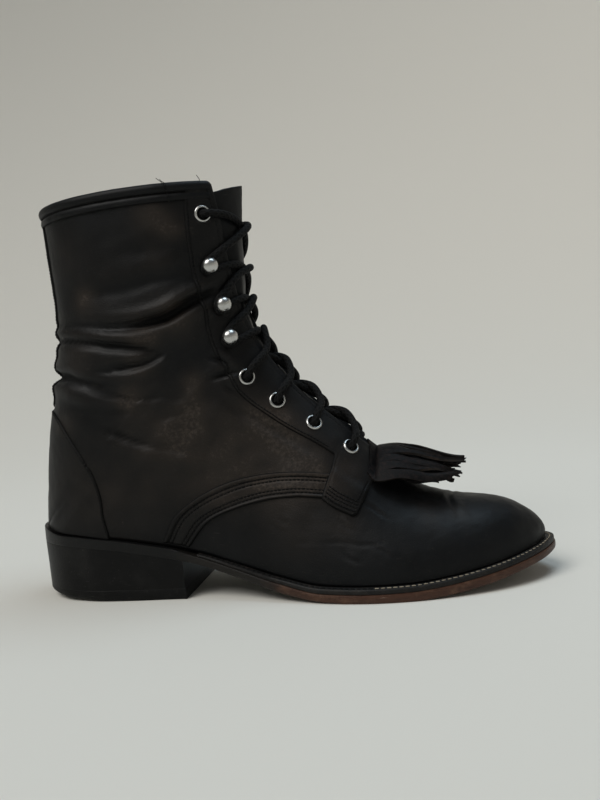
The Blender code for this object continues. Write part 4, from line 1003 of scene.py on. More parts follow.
def makeUpper():
    rows = np.unique(np.round(np.concatenate([np.arange(0.0, collarRow + 0.01, upperLook["rowStep"]),
                                              upperLook["throatRows"]]), 4))
    count, cols = len(rows), upperLook["columns"]
    points, faces, rub, fold = [], [], [], []
    for side in (outer, inner):
        edges = np.array([float(tFromFront(side, row, throatGap(row))) for row in rows])
        ts = edges[:, None] * np.linspace(0.0, 1.0, cols)[None, :]
        grid = np.repeat(rows[:, None], cols, axis=1)
        faces += gridFaces(count, cols, len(points) * count * cols, side == outer)
        points.append(skinAt(side, grid, ts, "points").reshape(-1, 3))
        rub.append(skinAt(side, grid, ts, "rub").ravel())
        fold.append(skinAt(side, grid, ts, "fold").ravel())
    mesh = meshFrom("upperSkin", np.concatenate(points), faces,
                    {"rub": np.concatenate(rub), "fold": np.concatenate(fold)})
    bm = bmesh.new()
    bm.from_mesh(mesh)
    bmesh.ops.remove_doubles(bm, verts=bm.verts, dist=0.02 * mm)
    bmesh.ops.dissolve_degenerate(bm, edges=bm.edges, dist=0.005 * mm)
    bm.to_mesh(mesh)
    bm.free()
    piece = makePiece("upperSkin", mesh, ("upper",), (finishes["upperLeather"], finishes["liningLeather"]))
    wall = piece.modifiers.new("wall", "SOLIDIFY")
    wall.thickness = last["wall"] * mm
    wall.offset = -1.0
    wall.material_offset = 1
    return piece


makeUpper()
print("upper ready")


# sole, welt, heel and lift: layers with rounded edges between heights that follow x
soleLook = {
    "breastX": -52.0,
    "heelInset": 0.1,
    "liftInset": 1.05,
    "liftThick": 6.0,
    "weltInset": 0.6,
    # inset and share of the height down a layer's edge
    "edge": [(2.6, 1.0), (0.75, 1.0), (0.3, 0.96), (0.06, 0.84), (0.0, 0.62), (0.0, 0.3), (0.12, 0.12), (0.45, 0.02),
             (0.9, 0.0), (3.0, 0.0)],
    "heelEdge": [(2.5, 1.0), (0.1, 1.0), (0.0, 0.99), (0.0, 0.95), (0.5, 0.5), (0.9, 0.05), (0.92, 0.02), (1.0, 0.0),
                 (3.0, 0.0)],
    "liftEdge": [(2.6, 1.0), (0.12, 1.0), (0.0, 0.97), (0.0, 0.3), (0.15, 0.12), (0.5, 0.02), (1.0, 0.0), (3.0, 0.0)],
    "joint": 0.02,           # between the layers of the heel
    "crispBehind": (-62.0, -46.0),   # the sole's edge is square over the heel
    "rim": (-120.0, -139.0, 2.8),    # the heel seat's edge turns up towards the back
    # x, how far the lift is worn away
    "worn": [(-141.0, 5.7), (-136.0, 4.5), (-128.0, 3.1), (-115.0, 1.8), (-95.0, 0.55), (-75.0, 0.0), (-50.0, 0.0)],
    "weltEdge": [(0.2, 0.0), (0.02, 0.2), (0.0, 0.6), (0.18, 0.9), (0.6, 1.0), (1.5, 1.0), (1.75, 0.9), (2.5, 0.9),
                 (2.75, 1.0)],
}


def layerMesh(name, spans, inset, under, top, profile, crisp=None):
    points, count = [], len(profile)
    for pair in spans:
        ring = []
        for side, share in zip((outer, inner), pair):
            line = []
            softness = 1.0
            if crisp is not None:
                softness = 0.15 + 0.85 * float(smoothstep(*crisp, edgePoint(side, share, inset)[0][0]))
            for extra, height in profile:
                x, y = edgePoint(side, share, inset + (extra if extra > 1.0 else softness * extra))[0]
                line.append((x, y, under(x) + height * (top(x) - under(x))))
            ring += line if side == outer else line[::-1]
        points += ring
    faces = []
    size = 2 * count
    for i in range(len(spans) - 1):
        for k in range(size):
            after = (k + 1) % size
            faces.append([i * size + k, i * size + after, (i + 1) * size + after, (i + 1) * size + k])
    faces.append(list(range(size))[::-1])
    faces.append([(len(spans) - 1) * size + k for k in range(size)])
    return closeMesh(meshFrom(name, points, faces), 35.0)


def closeMesh(mesh, sharp=None):
    bm = bmesh.new()
    bm.from_mesh(mesh)
    bmesh.ops.remove_doubles(bm, verts=bm.verts, dist=0.02 * mm)
    bmesh.ops.dissolve_degenerate(bm, edges=bm.edges, dist=0.005 * mm)
    bmesh.ops.recalc_face_normals(bm, faces=bm.faces)
    bm.to_mesh(mesh)
    bm.free()
    mesh.shade_smooth()
    if sharp is not None:
        mesh.set_sharp_from_angle(angle=math.radians(sharp))
    return mesh


def easedShares(count):
    return [0.5 - 0.5 * math.cos(math.pi * k / count) for k in range(count + 1)]


def makeSole():
    spans = [(s, s) for s in easedShares(190)]
    rimFrom, rimFull, rimHigh = soleLook["rim"]

    def rimmedTop(x):
        return outsoleTop(x) + rimHigh * float(smoothstep(-rimFrom, -rimFull, -x))

    mesh = layerMesh("outsoleEdge", spans, 0.0, soleUnder, rimmedTop, soleLook["edge"], soleLook["crispBehind"])
    makePiece("outsoleEdge", mesh, ("outsole",), (finishes["soleLeather"],))
    ends = [edgeShare(side, soleLook["breastX"], soleLook["heelInset"]) for side in (outer, inner)]
    shares = [math.sin(0.5 * math.pi * k / 60) ** 1.5 for k in range(61)]
    spans = [(s * ends[0], s * ends[1]) for s in shares]
    lift = soleLook["liftThick"]
    heel = layerMesh("heelBlock", spans, soleLook["heelInset"], lambda x: lift, lambda x: soleUnder(x) - soleLook["joint"],
                     soleLook["heelEdge"])
    makePiece("heelBlock", heel, ("heel",), (finishes["heelBlack"],))

    def wornUnder(x):
        return float(hermite(*zip(*soleLook["worn"]), x, flat=True))

    rubber = layerMesh("topLift", spans, soleLook["liftInset"], wornUnder, lambda x: lift - soleLook["joint"],
                       soleLook["liftEdge"])
    makePiece("topLift", rubber, ("top_lift",), (finishes["liftRubber"],))


def weltPath(count):
    starts = {side: edgeShare(side, last["weltEndX"]) for side in (outer, inner)}
    shares = [math.sin(0.5 * math.pi * k / count) for k in range(count + 1)]
    path = [(outer, starts[outer] + (1.0 - starts[outer]) * s) for s in shares]
    return path + [(inner, starts[inner] + (1.0 - starts[inner]) * s) for s in shares[-2::-1]]


def makeWelt():
    path = weltPath(110)
    points = []
    for side, s in path:
        profile = [(extra + soleLook["weltInset"], height) for extra, height in soleLook["weltEdge"]]
        deep = ledge(s) + last["wall"] + 0.4
        for extra, height in profile + [(deep, 1.0), (deep, 0.0)]:
            x, y = edgePoint(side, s, extra)[0]
            low = outsoleTop(x) + 0.1
            points.append((x, y, low + height * (float(seat(x)) - low)))
    size = len(soleLook["weltEdge"]) + 2
    faces = []
    for i in range(len(path) - 1):
        for k in range(size):
            after = (k + 1) % size
            faces.append([i * size + k, i * size + after, (i + 1) * size + after, (i + 1) * size + k])
    faces.append(list(range(size))[::-1])
    faces.append([(len(path) - 1) * size + k for k in range(size)])
    mesh = closeMesh(meshFrom("weltStrip", points, faces), 50.0)
    makePiece("weltStrip", mesh, ("welt",), (finishes["weltLeather"],))


def dressInsole():
    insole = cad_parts["insole"]
    insole.data.materials.clear()
    insole.data.materials.append(finishes["liningLeather"])


makeSole()
makeWelt()
dressInsole()
print("sole ready")


# stitches, eyelets and hooks are placed by one tree on points that carry their directions
def makePlaceTree():
    tree = bpy.data.node_groups.new("placeAlongSeam", "GeometryNodeTree")
    face = tree.interface
    face.new_socket("Geometry", in_out="INPUT", socket_type="NodeSocketGeometry")
    sockets = {
        "shape": face.new_socket("Shape", in_out="INPUT", socket_type="NodeSocketObject"),
        "size": face.new_socket("Size", in_out="INPUT", socket_type="NodeSocketVector"),
        "vary": face.new_socket("Variation", in_out="INPUT", socket_type="NodeSocketFloat"),
        "finish": face.new_socket("Finish", in_out="INPUT", socket_type="NodeSocketMaterial"),
    }
    face.new_socket("Geometry", in_out="OUTPUT", socket_type="NodeSocketGeometry")
    start, end = tree.nodes.new("NodeGroupInput"), tree.nodes.new("NodeGroupOutput")
    along, out = (addNode(tree, "GeometryNodeInputNamedAttribute", {"Name": key}, data_type="FLOAT_VECTOR")
                  for key in ("along", "out"))
    turn = addNode(tree, "FunctionNodeAxesToRotation", {0: out.outputs[0], 1: along.outputs[0]},
                   primary_axis="Z", secondary_axis="X")
    shape = addNode(tree, "GeometryNodeObjectInfo", {"Object": start.outputs["Shape"]})
    less = mathNode(tree, "SUBTRACT", 1.0, start.outputs["Variation"])
    more = mathNode(tree, "ADD", 1.0, start.outputs["Variation"])
    chance = addNode(tree, "FunctionNodeRandomValue", {"Seed": 11}, data_type="FLOAT")
    tree.links.new(less, chance.inputs[2])
    tree.links.new(more, chance.inputs[3])
    scale = addNode(tree, "ShaderNodeVectorMath", {0: start.outputs["Size"], 3: chance.outputs[1]}, operation="SCALE")
    placed = addNode(tree, "GeometryNodeInstanceOnPoints", {
        "Points": start.outputs["Geometry"], "Instance": shape.outputs["Geometry"],
        "Rotation": turn.outputs[0], "Scale": scale.outputs[0]})
    real = addNode(tree, "GeometryNodeRealizeInstances", {0: placed.outputs[0]})
    painted = addNode(tree, "GeometryNodeSetMaterial", {"Geometry": real.outputs[0], "Material": start.outputs["Finish"]})
    tree.links.new(painted.outputs[0], end.inputs[0])
    return tree, {key: socket.identifier for key, socket in sockets.items()}


placeTree, placeInputs = makePlaceTree()


def turnedShape(name, profile, steps):
    points = []
    for k in range(steps):
        angle = 2.0 * math.pi * k / steps
        points += [(r * math.cos(angle), r * math.sin(angle), z) for r, z in profile]
    size = len(profile)
    faces = []
    for k in range(steps):
        after = (k + 1) % steps
        for n in range(size - 1):
            faces.append([k * size + n, after * size + n, after * size + n + 1, k * size + n + 1])
    return bpy.data.objects.new(name, closeMesh(meshFrom(name, points, faces)))


def stitchShape():
    # a plump thread, one unit long along x
    profile = [(0.0, -0.5), (0.36, -0.44), (0.5, -0.22), (0.5, 0.22), (0.36, 0.44), (0.0, 0.5)]
    shape = turnedShape("stitchShape", profile, 6)
    shape.data.transform(Matrix.Rotation(0.5 * math.pi, 4, "Y"))
    shape.data.transform(Matrix.Scale(1.0 / mm, 4))
    return shape


def placeShapes(name, shape, spots, finish, replaced=(), size=(1.0, 1.0, 1.0), vary=0.0):
    places, alongs, outs = (np.array(column, float) for column in zip(*spots))
    cloud = meshFrom(name + "Points", places, [])
    for key, values in (("along", alongs), ("out", outs)):
        layer = cloud.attributes.new(key, "FLOAT_VECTOR", "POINT")
        layer.data.foreach_set("vector", values.astype(np.float32).ravel())
    carrier = bpy.data.objects.new(name + "Points", cloud)
    bpy.context.scene.collection.objects.link(carrier)
    nodes = carrier.modifiers.new("place", "NODES")
    nodes.node_group = placeTree
    nodes[placeInputs["shape"]] = shape
    nodes[placeInputs["size"]] = size
    nodes[placeInputs["vary"]] = vary
    nodes[placeInputs["finish"]] = finish
    mesh = bpy.data.meshes.new_from_object(carrier.evaluated_get(bpy.context.evaluated_depsgraph_get()))
    carrier.modifiers.remove(nodes)
    bpy.data.objects.remove(carrier)
    mesh.name = name
    for key in ("along", "out"):
        if key in mesh.attributes:
            mesh.attributes.remove(mesh.attributes[key])
    return makePiece(name, mesh, replaced)


# evenly spaced places along a line on the leather, with direction and outward normal
def spacedAlong(points, normals, spacing):
    steps = np.linalg.norm(np.diff(points, axis=0), axis=1)
    length = np.concatenate([[0.0], np.cumsum(steps)])
    count = max(int(length[-1] / spacing), 1)
    at = (np.arange(count) + 0.5) * length[-1] / count
    places = np.stack([np.interp(at, length, points[:, k]) for k in range(3)], axis=1)
    outs = unitRows(np.stack([np.interp(at, length, normals[:, k]) for k in range(3)], axis=1))
    ahead = np.stack([np.interp(at + 0.4, length, points[:, k]) for k in range(3)], axis=1)
    behind = np.stack([np.interp(at - 0.4, length, points[:, k]) for k in range(3)], axis=1)
    alongs = unitRows(ahead - behind)
    return list(zip(places, alongs, outs))


seams = {"blackThread": [], "fineThread": [], "bandThread": []}


def sewLine(key, sides, rows, ts, out, spacing):
    rows, ts = np.asarray(rows, float), np.asarray(ts, float)
    mask = (np.asarray(sides) * np.ones(len(rows)) == outer)[:, None]
    places = [skinAt(side, rows, ts, "points") for side in (outer, inner)]
    normals = [skinAt(side, rows, ts, "normals") for side in (outer, inner)]
    normal = unitRows(np.where(mask, *normals))
    seams[key] += spacedAlong(np.where(mask, *places) + out * normal, normal, spacing)


def bead(distance, centre, width, height):
    return height * np.exp(-((distance - centre) / width) ** 2)


# facings along the lace opening, each with a tab at its foot
eyestayLook = {
    "rows": (10.05, 22.9),
    "front": 0.3,            # behind the edge of the upper
    # section, width; the foot reaches down over the quarter band
    "widths": [(10.72, 45.3), (10.82, 21.3), (11.6, 22.9), (12.6, 26.3), (13.6, 29.8), (15.0, 28.8), (17.5, 25.3),
               (19.5, 23.5), (21.7, 19.3), (23.0, 14.3)],
    "tabEnds": (10.66, 10.86),
    "thick": 1.1,
    "seam": 1.7,             # stitches in from the back edge
    "bartacks": (37.6, 39.4, 41.2, 43.0),
    "tabSeams": (0.05, 0.11),        # stitched lines behind the tab's front edge, in sections
    "overBand": (26.0, 31.0, 0.95),  # where the tab climbs onto the quarter band, and how high
    "lead": 0.38,            # sections by which the tab's front edge runs ahead towards its end
    "leadReach": 22.5,
}


def eyestayWidth(row):
    low, high = eyestayLook["tabEnds"]
    rows, widths = zip(*eyestayLook["widths"])
    above = hermite(rows[1:], widths[1:], row)
    return above + (widths[0] - above) * (1.0 - smoothstep(low, high, row))


def footLead(distance):
    return eyestayLook["lead"] * np.minimum(np.asarray(distance) / eyestayLook["leadReach"], 1.0)


def makeEyestays():
    look = eyestayLook
    first, end = look["rows"]
    corner = np.linspace(look["tabEnds"][0] - 0.05, look["tabEnds"][1] + 0.05, 15)
    spread = first + (end - first) * edgeShares(185.0, 1.3)
    rows = np.unique(np.round(np.concatenate([spread, corner, np.linspace(first + 0.08, look["tabEnds"][0], 10)]), 4))
    shares = edgeShares(24.0, 0.9)
    for side in (outer, inner):
        fromEdge = eyestayWidth(rows)[:, None] * shares[None, :]
        distances = throatGap(rows)[:, None] + look["front"] + fromEdge
        ahead = np.clip((look["tabEnds"][0] - rows) / (look["tabEnds"][0] - first), 0.0, 1.0)[:, None]
        grid = rows[:, None] - ahead * footLead(fromEdge)
        ts = np.array([[float(tFromFront(side, r, d)) for r, d in zip(*lines)] for lines in zip(grid, distances)])

        low, high, climb = look["overBand"]
        foot = 1.0 - smoothstep(look["tabEnds"][1], look["tabEnds"][1] + 0.1, rows)[:, None]

        def relief(distance):
            edges = bead(fromEdge, 1.5, 1.1, 0.5) - bead(fromEdge, 3.3, 0.55, 0.22) - bead(distance, look["seam"], 0.5, 0.14)
            return edges + climb * foot * smoothstep(low, high, fromEdge)

        name = "eyestay" + sideNames[side].capitalize()
        # painted shade in the groove of the back seam's stitches
        sewn = np.minimum(bead(eyestayWidth(rows)[:, None] - fromEdge, look["seam"], 0.7, 0.95), 0.95)
        mesh = panelMesh(name, np.full(grid.shape, side), grid, ts, look["thick"], side == inner, relief, ("rowEnd",),
                         grooves=sewn)
        makePiece(name, mesh, ("eyestay_" + sideNames[side],), (finishes["overlayLeather"],))
        upward = rows[(rows > look["tabEnds"][1] + 0.12) & (rows < 22.4)]
        sewn = (("fineThread", np.full(len(upward), 3.3), 0.95), ("bandThread", eyestayWidth(upward) - look["seam"], 1.0))
        for key, inset, lift in sewn:
            reach = throatGap(upward) + look["front"] + inset
            line = [float(tFromFront(side, row, d)) for row, d in zip(upward, reach)]
            sewLine(key, side, upward, line, lift, 1.9)
        tabRows = np.linspace(first + 0.05, look["tabEnds"][0] - 0.01, 12)
        tacks = [(tabRows, np.full(len(tabRows), inset), 1.12 + climb) for inset in look["bartacks"]]
        for ahead in look["tabSeams"]:
            down = np.linspace(5.0, look["bartacks"][0] - 1.0, 24)
            tacks.append((np.full(len(down), first + ahead), down, 1.08 + climb * smoothstep(low, high, down)[:, None]))
        for places, insets, lift in tacks:
            shift = np.clip((look["tabEnds"][0] - places) / (look["tabEnds"][0] - first), 0.0, 1.0) * footLead(insets)
            reach = throatGap(places) + look["front"] + insets
            line = [float(tFromFront(side, row, d)) for row, d in zip(places - shift, reach)]
            sewLine("blackThread", side, places - shift, line, lift, 1.5)


# raised band over each quarter, corded along both edges
bandLook = {
    "thick": 1.0,
    # upper edge x, z, lower edge x, z
    "edges": [
        (-63.0, 30.4, -48.6, 27.2), (-55.7, 43.8, -37.1, 39.8), (-41.9, 53.6, -21.8, 46.2), (-25.0, 60.5, -3.6, 50.3),
        (-7.0, 63.6, 9.5, 51.2), (10.0, 63.9, 15.0, 51.0), (24.5, 62.2, 20.5, 50.3), (30.5, 60.9, 25.5, 49.5),
    ],
    "rows": (2.5, 4.2),      # stitches in from each edge
}


def makeQuarterBands():
    table = list(zip(*bandLook["edges"]))
    knots = np.arange(len(bandLook["edges"]))
    shares = edgeShares(13.0, 0.45)
    steps = edgeShares(100.0, 1.4) * knots[-1]
    edges = [hermite(knots, column, steps) for column in table]
    grid = np.array([[findOnSkin(outer, ux + s * (lx - ux), uz + s * (lz - uz)) for s in shares]
                     for ux, uz, lx, lz in zip(*edges)])
    rows, ts = grid[:, :, 0], grid[:, :, 1]
    for side in (outer, inner):
        across = np.minimum(shares, 1.0 - shares)[None, :] * 13.0 * np.ones((len(steps), 1))
        # sewn gives the stitch rows their sunken relief and their painted shade
        sewn = bead(across, bandLook["rows"][0], 0.6, 1.0) + bead(across, bandLook["rows"][1], 0.6, 0.8)

        def relief(distance):
            return bead(across, 1.0, 0.8, 0.75) - 0.45 * sewn

        name = "quarterBand" + sideNames[side].capitalize()
        mesh = panelMesh(name, np.full(rows.shape, side), rows, ts, bandLook["thick"], side == outer, relief,
                         grooves=np.minimum(sewn, 0.95))
        makePiece(name, mesh, ("quarter_band_" + sideNames[side],), (finishes["overlayLeather"],))
        for inset in bandLook["rows"]:
            for share in (inset / 13.0, 1.0 - inset / 13.0):
                lineRows = [np.interp(share, shares, row) for row in rows]
                lineTs = [np.interp(share, shares, t) for t in ts]
                sewLine("bandThread", side, lineRows[3:-6], lineTs[3:-6], 0.78, 2.1)


# heel counter behind its curved seam, and the strip up the back
heelLook = {
    "thick": 1.0,
    "counterSeam": [(-91.8, 34.0), (-94.0, 45.0), (-94.6, 56.0), (-96.8, 66.0), (-101.2, 75.5), (-109.2, 87.5),
                    (-119.0, 100.0), (-127.2, 104.5)],
    "counterTop": 105.5,
    "backstayHalf": 15.0,
    "seam": 1.6,
}


def makeCounter():
    seam = heelLook["counterSeam"]
    knots = np.arange(len(seam))
    dense = np.linspace(0, knots[-1], 40)
    found = [findOnSkin(outer, x, z) for x, z in zip(hermite(knots, [p[0] for p in seam], dense),
                                                     hermite(knots, [p[1] for p in seam], dense))]
    topRow = float(np.interp(heelLook["counterTop"], columns["backZ"], columns["backRow"]))
    seamRows = np.array([row for row, _ in found] + [topRow])
    seamTs = np.array([0.0] + [t for _, t in found[1:]] + [0.0])
    rows = seamRows[0] + 0.02 + (topRow - 0.02 - seamRows[0]) * edgeShares(95.0, 1.0)
    ends = np.interp(rows, seamRows, seamTs)
    shares = np.linspace(-1.0, 1.0, 93)
    shares = np.sign(shares) * (1.0 - (1.0 - np.abs(shares)) ** 1.15)
    ts = np.abs(shares)[None, :] * ends[:, None]
    sides = np.where(shares < 0.0, outer, inner)[None, :] * np.ones((len(rows), 1))
    grid = np.repeat(rows[:, None], len(shares), axis=1)
    mesh = panelMesh("heelCounter", sides, grid, ts, heelLook["thick"], False, None, ("rowStart",))
    makePiece("heelCounter", closeMesh(mesh), ("counter",), (finishes["upperLeather"],))
    for side in (outer, inner):
        lineRows, lineTs = seamRows[2:-2], seamTs[2:-2]
        inside = [tFromBack(side, row, np.interp(t, tLine, skin[side]["fromBack"][int(row / folds["rowStep"])])
                            - heelLook["seam"]) for row, t in zip(lineRows, lineTs)]
        sewLine("fineThread", side, lineRows, inside, 0.95, 1.7)


def makeBackstay():
    low = float(np.interp(heelLook["counterTop"] - 1.0, columns["backZ"], columns["backRow"]))
    rows = low + (22.9 - low) * edgeShares(112.0, 1.2)
    half = heelLook["backstayHalf"]
    distances = (2.0 * edgeShares(2.0 * half, 1.0) - 1.0) * half
    sides = np.where(distances < 0.0, outer, inner)[None, :] * np.ones((len(rows), 1))
    ts = np.array([np.where(distances < 0.0, tFromBack(outer, row, np.abs(distances)),
                            tFromBack(inner, row, np.abs(distances))) for row in rows])
    grid = np.repeat(rows[:, None], len(distances), axis=1)
    mesh = panelMesh("backStrip", sides, grid, ts, heelLook["thick"], False, None, ("rowEnd",))
    makePiece("backStrip", closeMesh(mesh), ("backstay",), (finishes["upperLeather"],))
    line = rows[(rows > low + 0.15) & (rows < 22.3)]
    for side in (outer, inner):
        inside = [float(tFromBack(side, row, half - heelLook["seam"])) for row in line]
        sewLine("fineThread", side, line, inside, 0.95, 1.7)


# rolled binding over the collar, with a sewn band under it
collarLook = {
    # out from the leather, up from its edge
    "profile": [(-0.3, -8.3), (0.7, -8.1), (1.25, -7.4), (1.45, -6.3), (1.25, -5.1), (0.75, -4.3), (0.3, -3.9),
                (0.75, -3.5), (1.45, -2.8), (1.85, -1.8), (1.9, -0.8), (1.5, 0.4), (0.8, 1.15), (-0.2, 1.6), (-1.2, 1.7),
                (-2.3, 1.45), (-3.2, 0.7), (-3.6, -0.6), (-3.6, -5.2), (-3.3, -6.0), (-2.4, -6.2), (-1.4, -5.5), (-1.2, -7.0)],
    "grooves": (0, 1, 5, 6, 7),      # points of the profile that lie in shadow
    "seamDrop": 3.9,
    "rounded": 3.0,          # length over which each end is rounded
}


def makeCollar():
    stations, lines = [], []
    for side in (outer, inner):
        edge = float(tFromFront(side, collarRow, throatGap(collarRow)))
        ts = edge * (1.0 - np.linspace(0.0, 1.0, 80) ** 1.4)
        for t in (ts if side == outer else ts[-2::-1]):
            top = onSkin(side, collarRow, t)
            out = unitRows(skinAt(side, collarRow, t, "normals"))
            up = unitRows(top - onSkin(side, collarRow - 0.4, t))
            up = unitRows(up - np.dot(up, out) * out)
            ahead = np.linalg.norm(top - onSkin(side, collarRow, edge))
            full = math.sqrt(1.0 - max(1.0 - ahead / collarLook["rounded"], 0.0) ** 2)
            full = 0.45 + 0.55 * full
            stations.append([top + (full * (n + 1.0) - 1.0) * out + (full * (u + 3.4) - 3.4) * up
                             for n, u in collarLook["profile"]])
            lines.append((top + 0.45 * out - collarLook["seamDrop"] * up, out))
    size = len(collarLook["profile"])
    points = np.array(stations).reshape(-1, 3)
    faces = []
    for i in range(len(stations) - 1):
        for k in range(size):
            after = (k + 1) % size
            faces.append([i * size + k, i * size + after, (i + 1) * size + after, (i + 1) * size + k])
    faces.append(list(range(size))[::-1])
    faces.append([(len(stations) - 1) * size + k for k in range(size)])
    shaded = [1.0 if k in collarLook["grooves"] else 0.0 for k in range(size)] * len(stations)
    mesh = closeMesh(meshFrom("collarRoll", points, faces, {"edge": shaded}), 55.0)
    makePiece("collarRoll", mesh, ("collar_binding",), (finishes["upperLeather"],))
    seams["fineThread"] += spacedAlong(np.array([p for p, _ in lines]), np.array([n for _, n in lines]), 2.0)


# tongue under the facings: section, half width, depth under the facings, depth between them
tongueLook = {
    "sections": [(9.3, 17.0, 2.7, 2.7), (10.1, 20.5, 2.75, 2.75), (11.5, 26.5, 3.35, 1.0), (13.0, 33.0, 4.0, 1.0),
                 (16.5, 33.0, 4.0, 0.6), (18.0, 33.0, 4.0, -0.8), (20.0, 33.0, 4.0, -1.2), (21.6, 33.0, 4.0, -1.6),
                 (23.0, 33.0, 4.0, -1.8)],
    "rows": (9.3, 22.9),
    "creased": (19.0, 21.5),     # sections over which its front turns into a sharp fold
    "peak": 2.4,
    "slant": 5.6,            # how much lower its top lies at the facings
    "thick": 1.8,
}


def makeTongue():
    first, end = tongueLook["rows"]
    rows = np.linspace(first, end, 110)
    table = list(zip(*tongueLook["sections"]))
    shares = np.linspace(-1.0, 1.0, 61)
    tops, unders = [], []
    for row in rows:
        half, tucked, shown = (float(np.interp(row, table[0], column)) for column in table[1:])
        gap = float(throatGap(row))
        distance = np.abs(shares) * half
        bent = float(smoothstep(*tongueLook["creased"], row))
        turn = (1.0 - bent) * smoothstep(0.35 * gap, gap + 1e-3, distance) + bent * np.clip(distance / (gap + 1e-3), 0.0, 1.0)
        inward = shown + (tucked - shown) * turn
        top = tongueLook["peak"] - tongueLook["slant"] * np.clip(distance / gap, 0.0, 1.0)
        raised = float(smoothstep(end - 1.2, end, row)) * top
        line, below = np.zeros((len(shares), 3)), np.zeros((len(shares), 3))
        for side, mask in ((outer, shares < 0.0), (inner, shares >= 0.0)):
            ts = tFromFront(side, row, distance[mask])
            places = np.full(len(ts), row)
            line[mask] = onSkin(side, places, ts, -inward[mask])
            below[mask] = onSkin(side, places, ts, -inward[mask] - tongueLook["thick"])
        line[:, 2] += raised
        below[:, 2] += raised
        tops.append(line)
        unders.append(below)
    mesh = slabMesh("tongueFlap", np.array(tops), np.array(unders), True)
    bm = bmesh.new()
    bm.from_mesh(mesh)
    bmesh.ops.recalc_face_normals(bm, faces=bm.faces)
    bm.to_mesh(mesh)
    bm.free()
    makePiece("tongueFlap", mesh, ("tongue",), (finishes["upperLeather"],))


makeEyestays()
makeQuarterBands()
makeCounter()
makeBackstay()
makeCollar()
makeTongue()
print("panels ready")


# fringe over the vamp, tucked under the foot of the facings
kiltieLook = {
    # section, half width, height over the leather
    "root": [(10.35, 25.0, 0.35), (10.05, 26.5, 1.0)],
    # x, middle z, half width, drop of the sides
    "sections": [(53.5, 70.6, 24.5, 15.5), (62.0, 71.0, 25.0, 15.2), (70.5, 69.0, 24.6, 14.0), (79.0, 66.2, 23.8, 12.2),
                 (88.5, 63.4, 22.5, 9.8), (98.5, 60.2, 21.0, 7.5)],
    "strips": 12,
    "thick": 1.2,
    "middleY": 3.0,
    "slit": 0.014,           # share of the half width cut away on each side of a strip
    "cutFrom": 2.8,          # stations that stay whole
    "lift": 1.7,
    "sway": 1.5,
    "curl": 1.1,
    "twist": 36.0,           # degrees at the tips
    "bends": 1.1,
    "ragged": 6.5,
    "rounded": 4.5,
    "nicks": 1.1,
    "underDrop": 2.8,        # lower layer of strips, a little under and shorter
    "underShort": 5.0,
}


def kiltiePoint(b, n, strip, layer):
    look = kiltieLook
    side = outer if b < 0.0 else inner
    root = []
    for row, half, out in look["root"]:
        row = row - float(footLead(abs(b) * half))
        root.append(onSkin(side, row, tFromFront(side, row, abs(b) * half), out))
    xs, zs, halves, drops = (np.array(column) for column in zip(*look["sections"]))
    knots = np.arange(len(root) + len(xs))
    reach = max(n - look["cutFrom"], 0.0) / (knots[-1] - look["cutFrom"])
    short = look["ragged"] * (0.5 + 0.5 * math.sin(1.7 * strip + 2.1 * layer)) + look["rounded"] * b * b
    short += layer * look["underShort"] + look["nicks"] * math.sin(83.0 * b + 5.0 * strip) * max(4.0 * reach - 3.0, 0.0)
    x = hermite(knots, [p[0] for p in root] + list(xs), n) - reach * short
    y = hermite(knots, [p[1] for p in root] + list(look["middleY"] + halves * b), n)
    z = hermite(knots, [p[2] for p in root] + list(zs - drops * b * b), n)
    y += look["sway"] * reach * math.sin(1.3 * strip + 0.5 + layer)
    z += look["lift"] * reach * math.sin(2.4 * strip + 0.6 + 1.7 * layer)
    z += look["bends"] * reach * math.sin(7.5 * reach + 1.9 * strip + layer)
    return np.array([x, y, z - layer * look["underDrop"] * smoothstep(1.0, 4.0, n)])


def makeKiltie():
    look = kiltieLook
    meshes = []
    tip = len(look["root"]) + len(look["sections"]) - 1
    ns = np.linspace(0.0, tip, 48)
    pitch = 2.0 / look["strips"]
    cup = np.array([-1.0, -0.2, 0.3, 0.45, 0.3, -0.2, -1.0])
    for layer in (0, 1):
        for strip in range(look["strips"] - layer):
            left = -1.0 + pitch * (strip + 0.5 * layer)
            grid = []
            for n in ns:
                slit = look["slit"] * float(smoothstep(look["cutFrom"] - 0.4, look["cutFrom"] + 0.4, n))
                edges = np.linspace(left + slit, left + pitch - slit, len(cup))
                line = np.array([kiltiePoint(b, n, strip, layer) for b in edges])
                reach = max(n - look["cutFrom"], 0.0) / (tip - look["cutFrom"])
                line[:, 2] += look["curl"] * reach * math.sin(3.3 * strip + 1.0 + layer) * cup
                angle = math.radians(look["twist"]) * reach * math.sin(2.9 * strip + 0.4 + 1.3 * layer)
                middle = line.mean(axis=0)
                y, z = (line - middle)[:, 1], (line - middle)[:, 2]
                line[:, 1] = middle[1] + math.cos(angle) * y - math.sin(angle) * z
                line[:, 2] = middle[2] + math.sin(angle) * y + math.cos(angle) * z
                grid.append(line)
            grid = np.array(grid)
            normals = unitRows(np.cross(np.gradient(grid, axis=0), np.gradient(grid, axis=1)))
            meshes.append(slabMesh("strip", grid + look["thick"] * normals, grid, False, None, 1))
    mesh = joinMeshes("kiltieFringe", meshes)
    finish = (finishes["kiltieLeather"], finishes["cutEdge"])
    makePiece("kiltieFringe", mesh, ("kiltie",), finish)
    mesh.set_sharp_from_angle(angle=math.radians(45.0))


makeKiltie()
print("fringe ready")


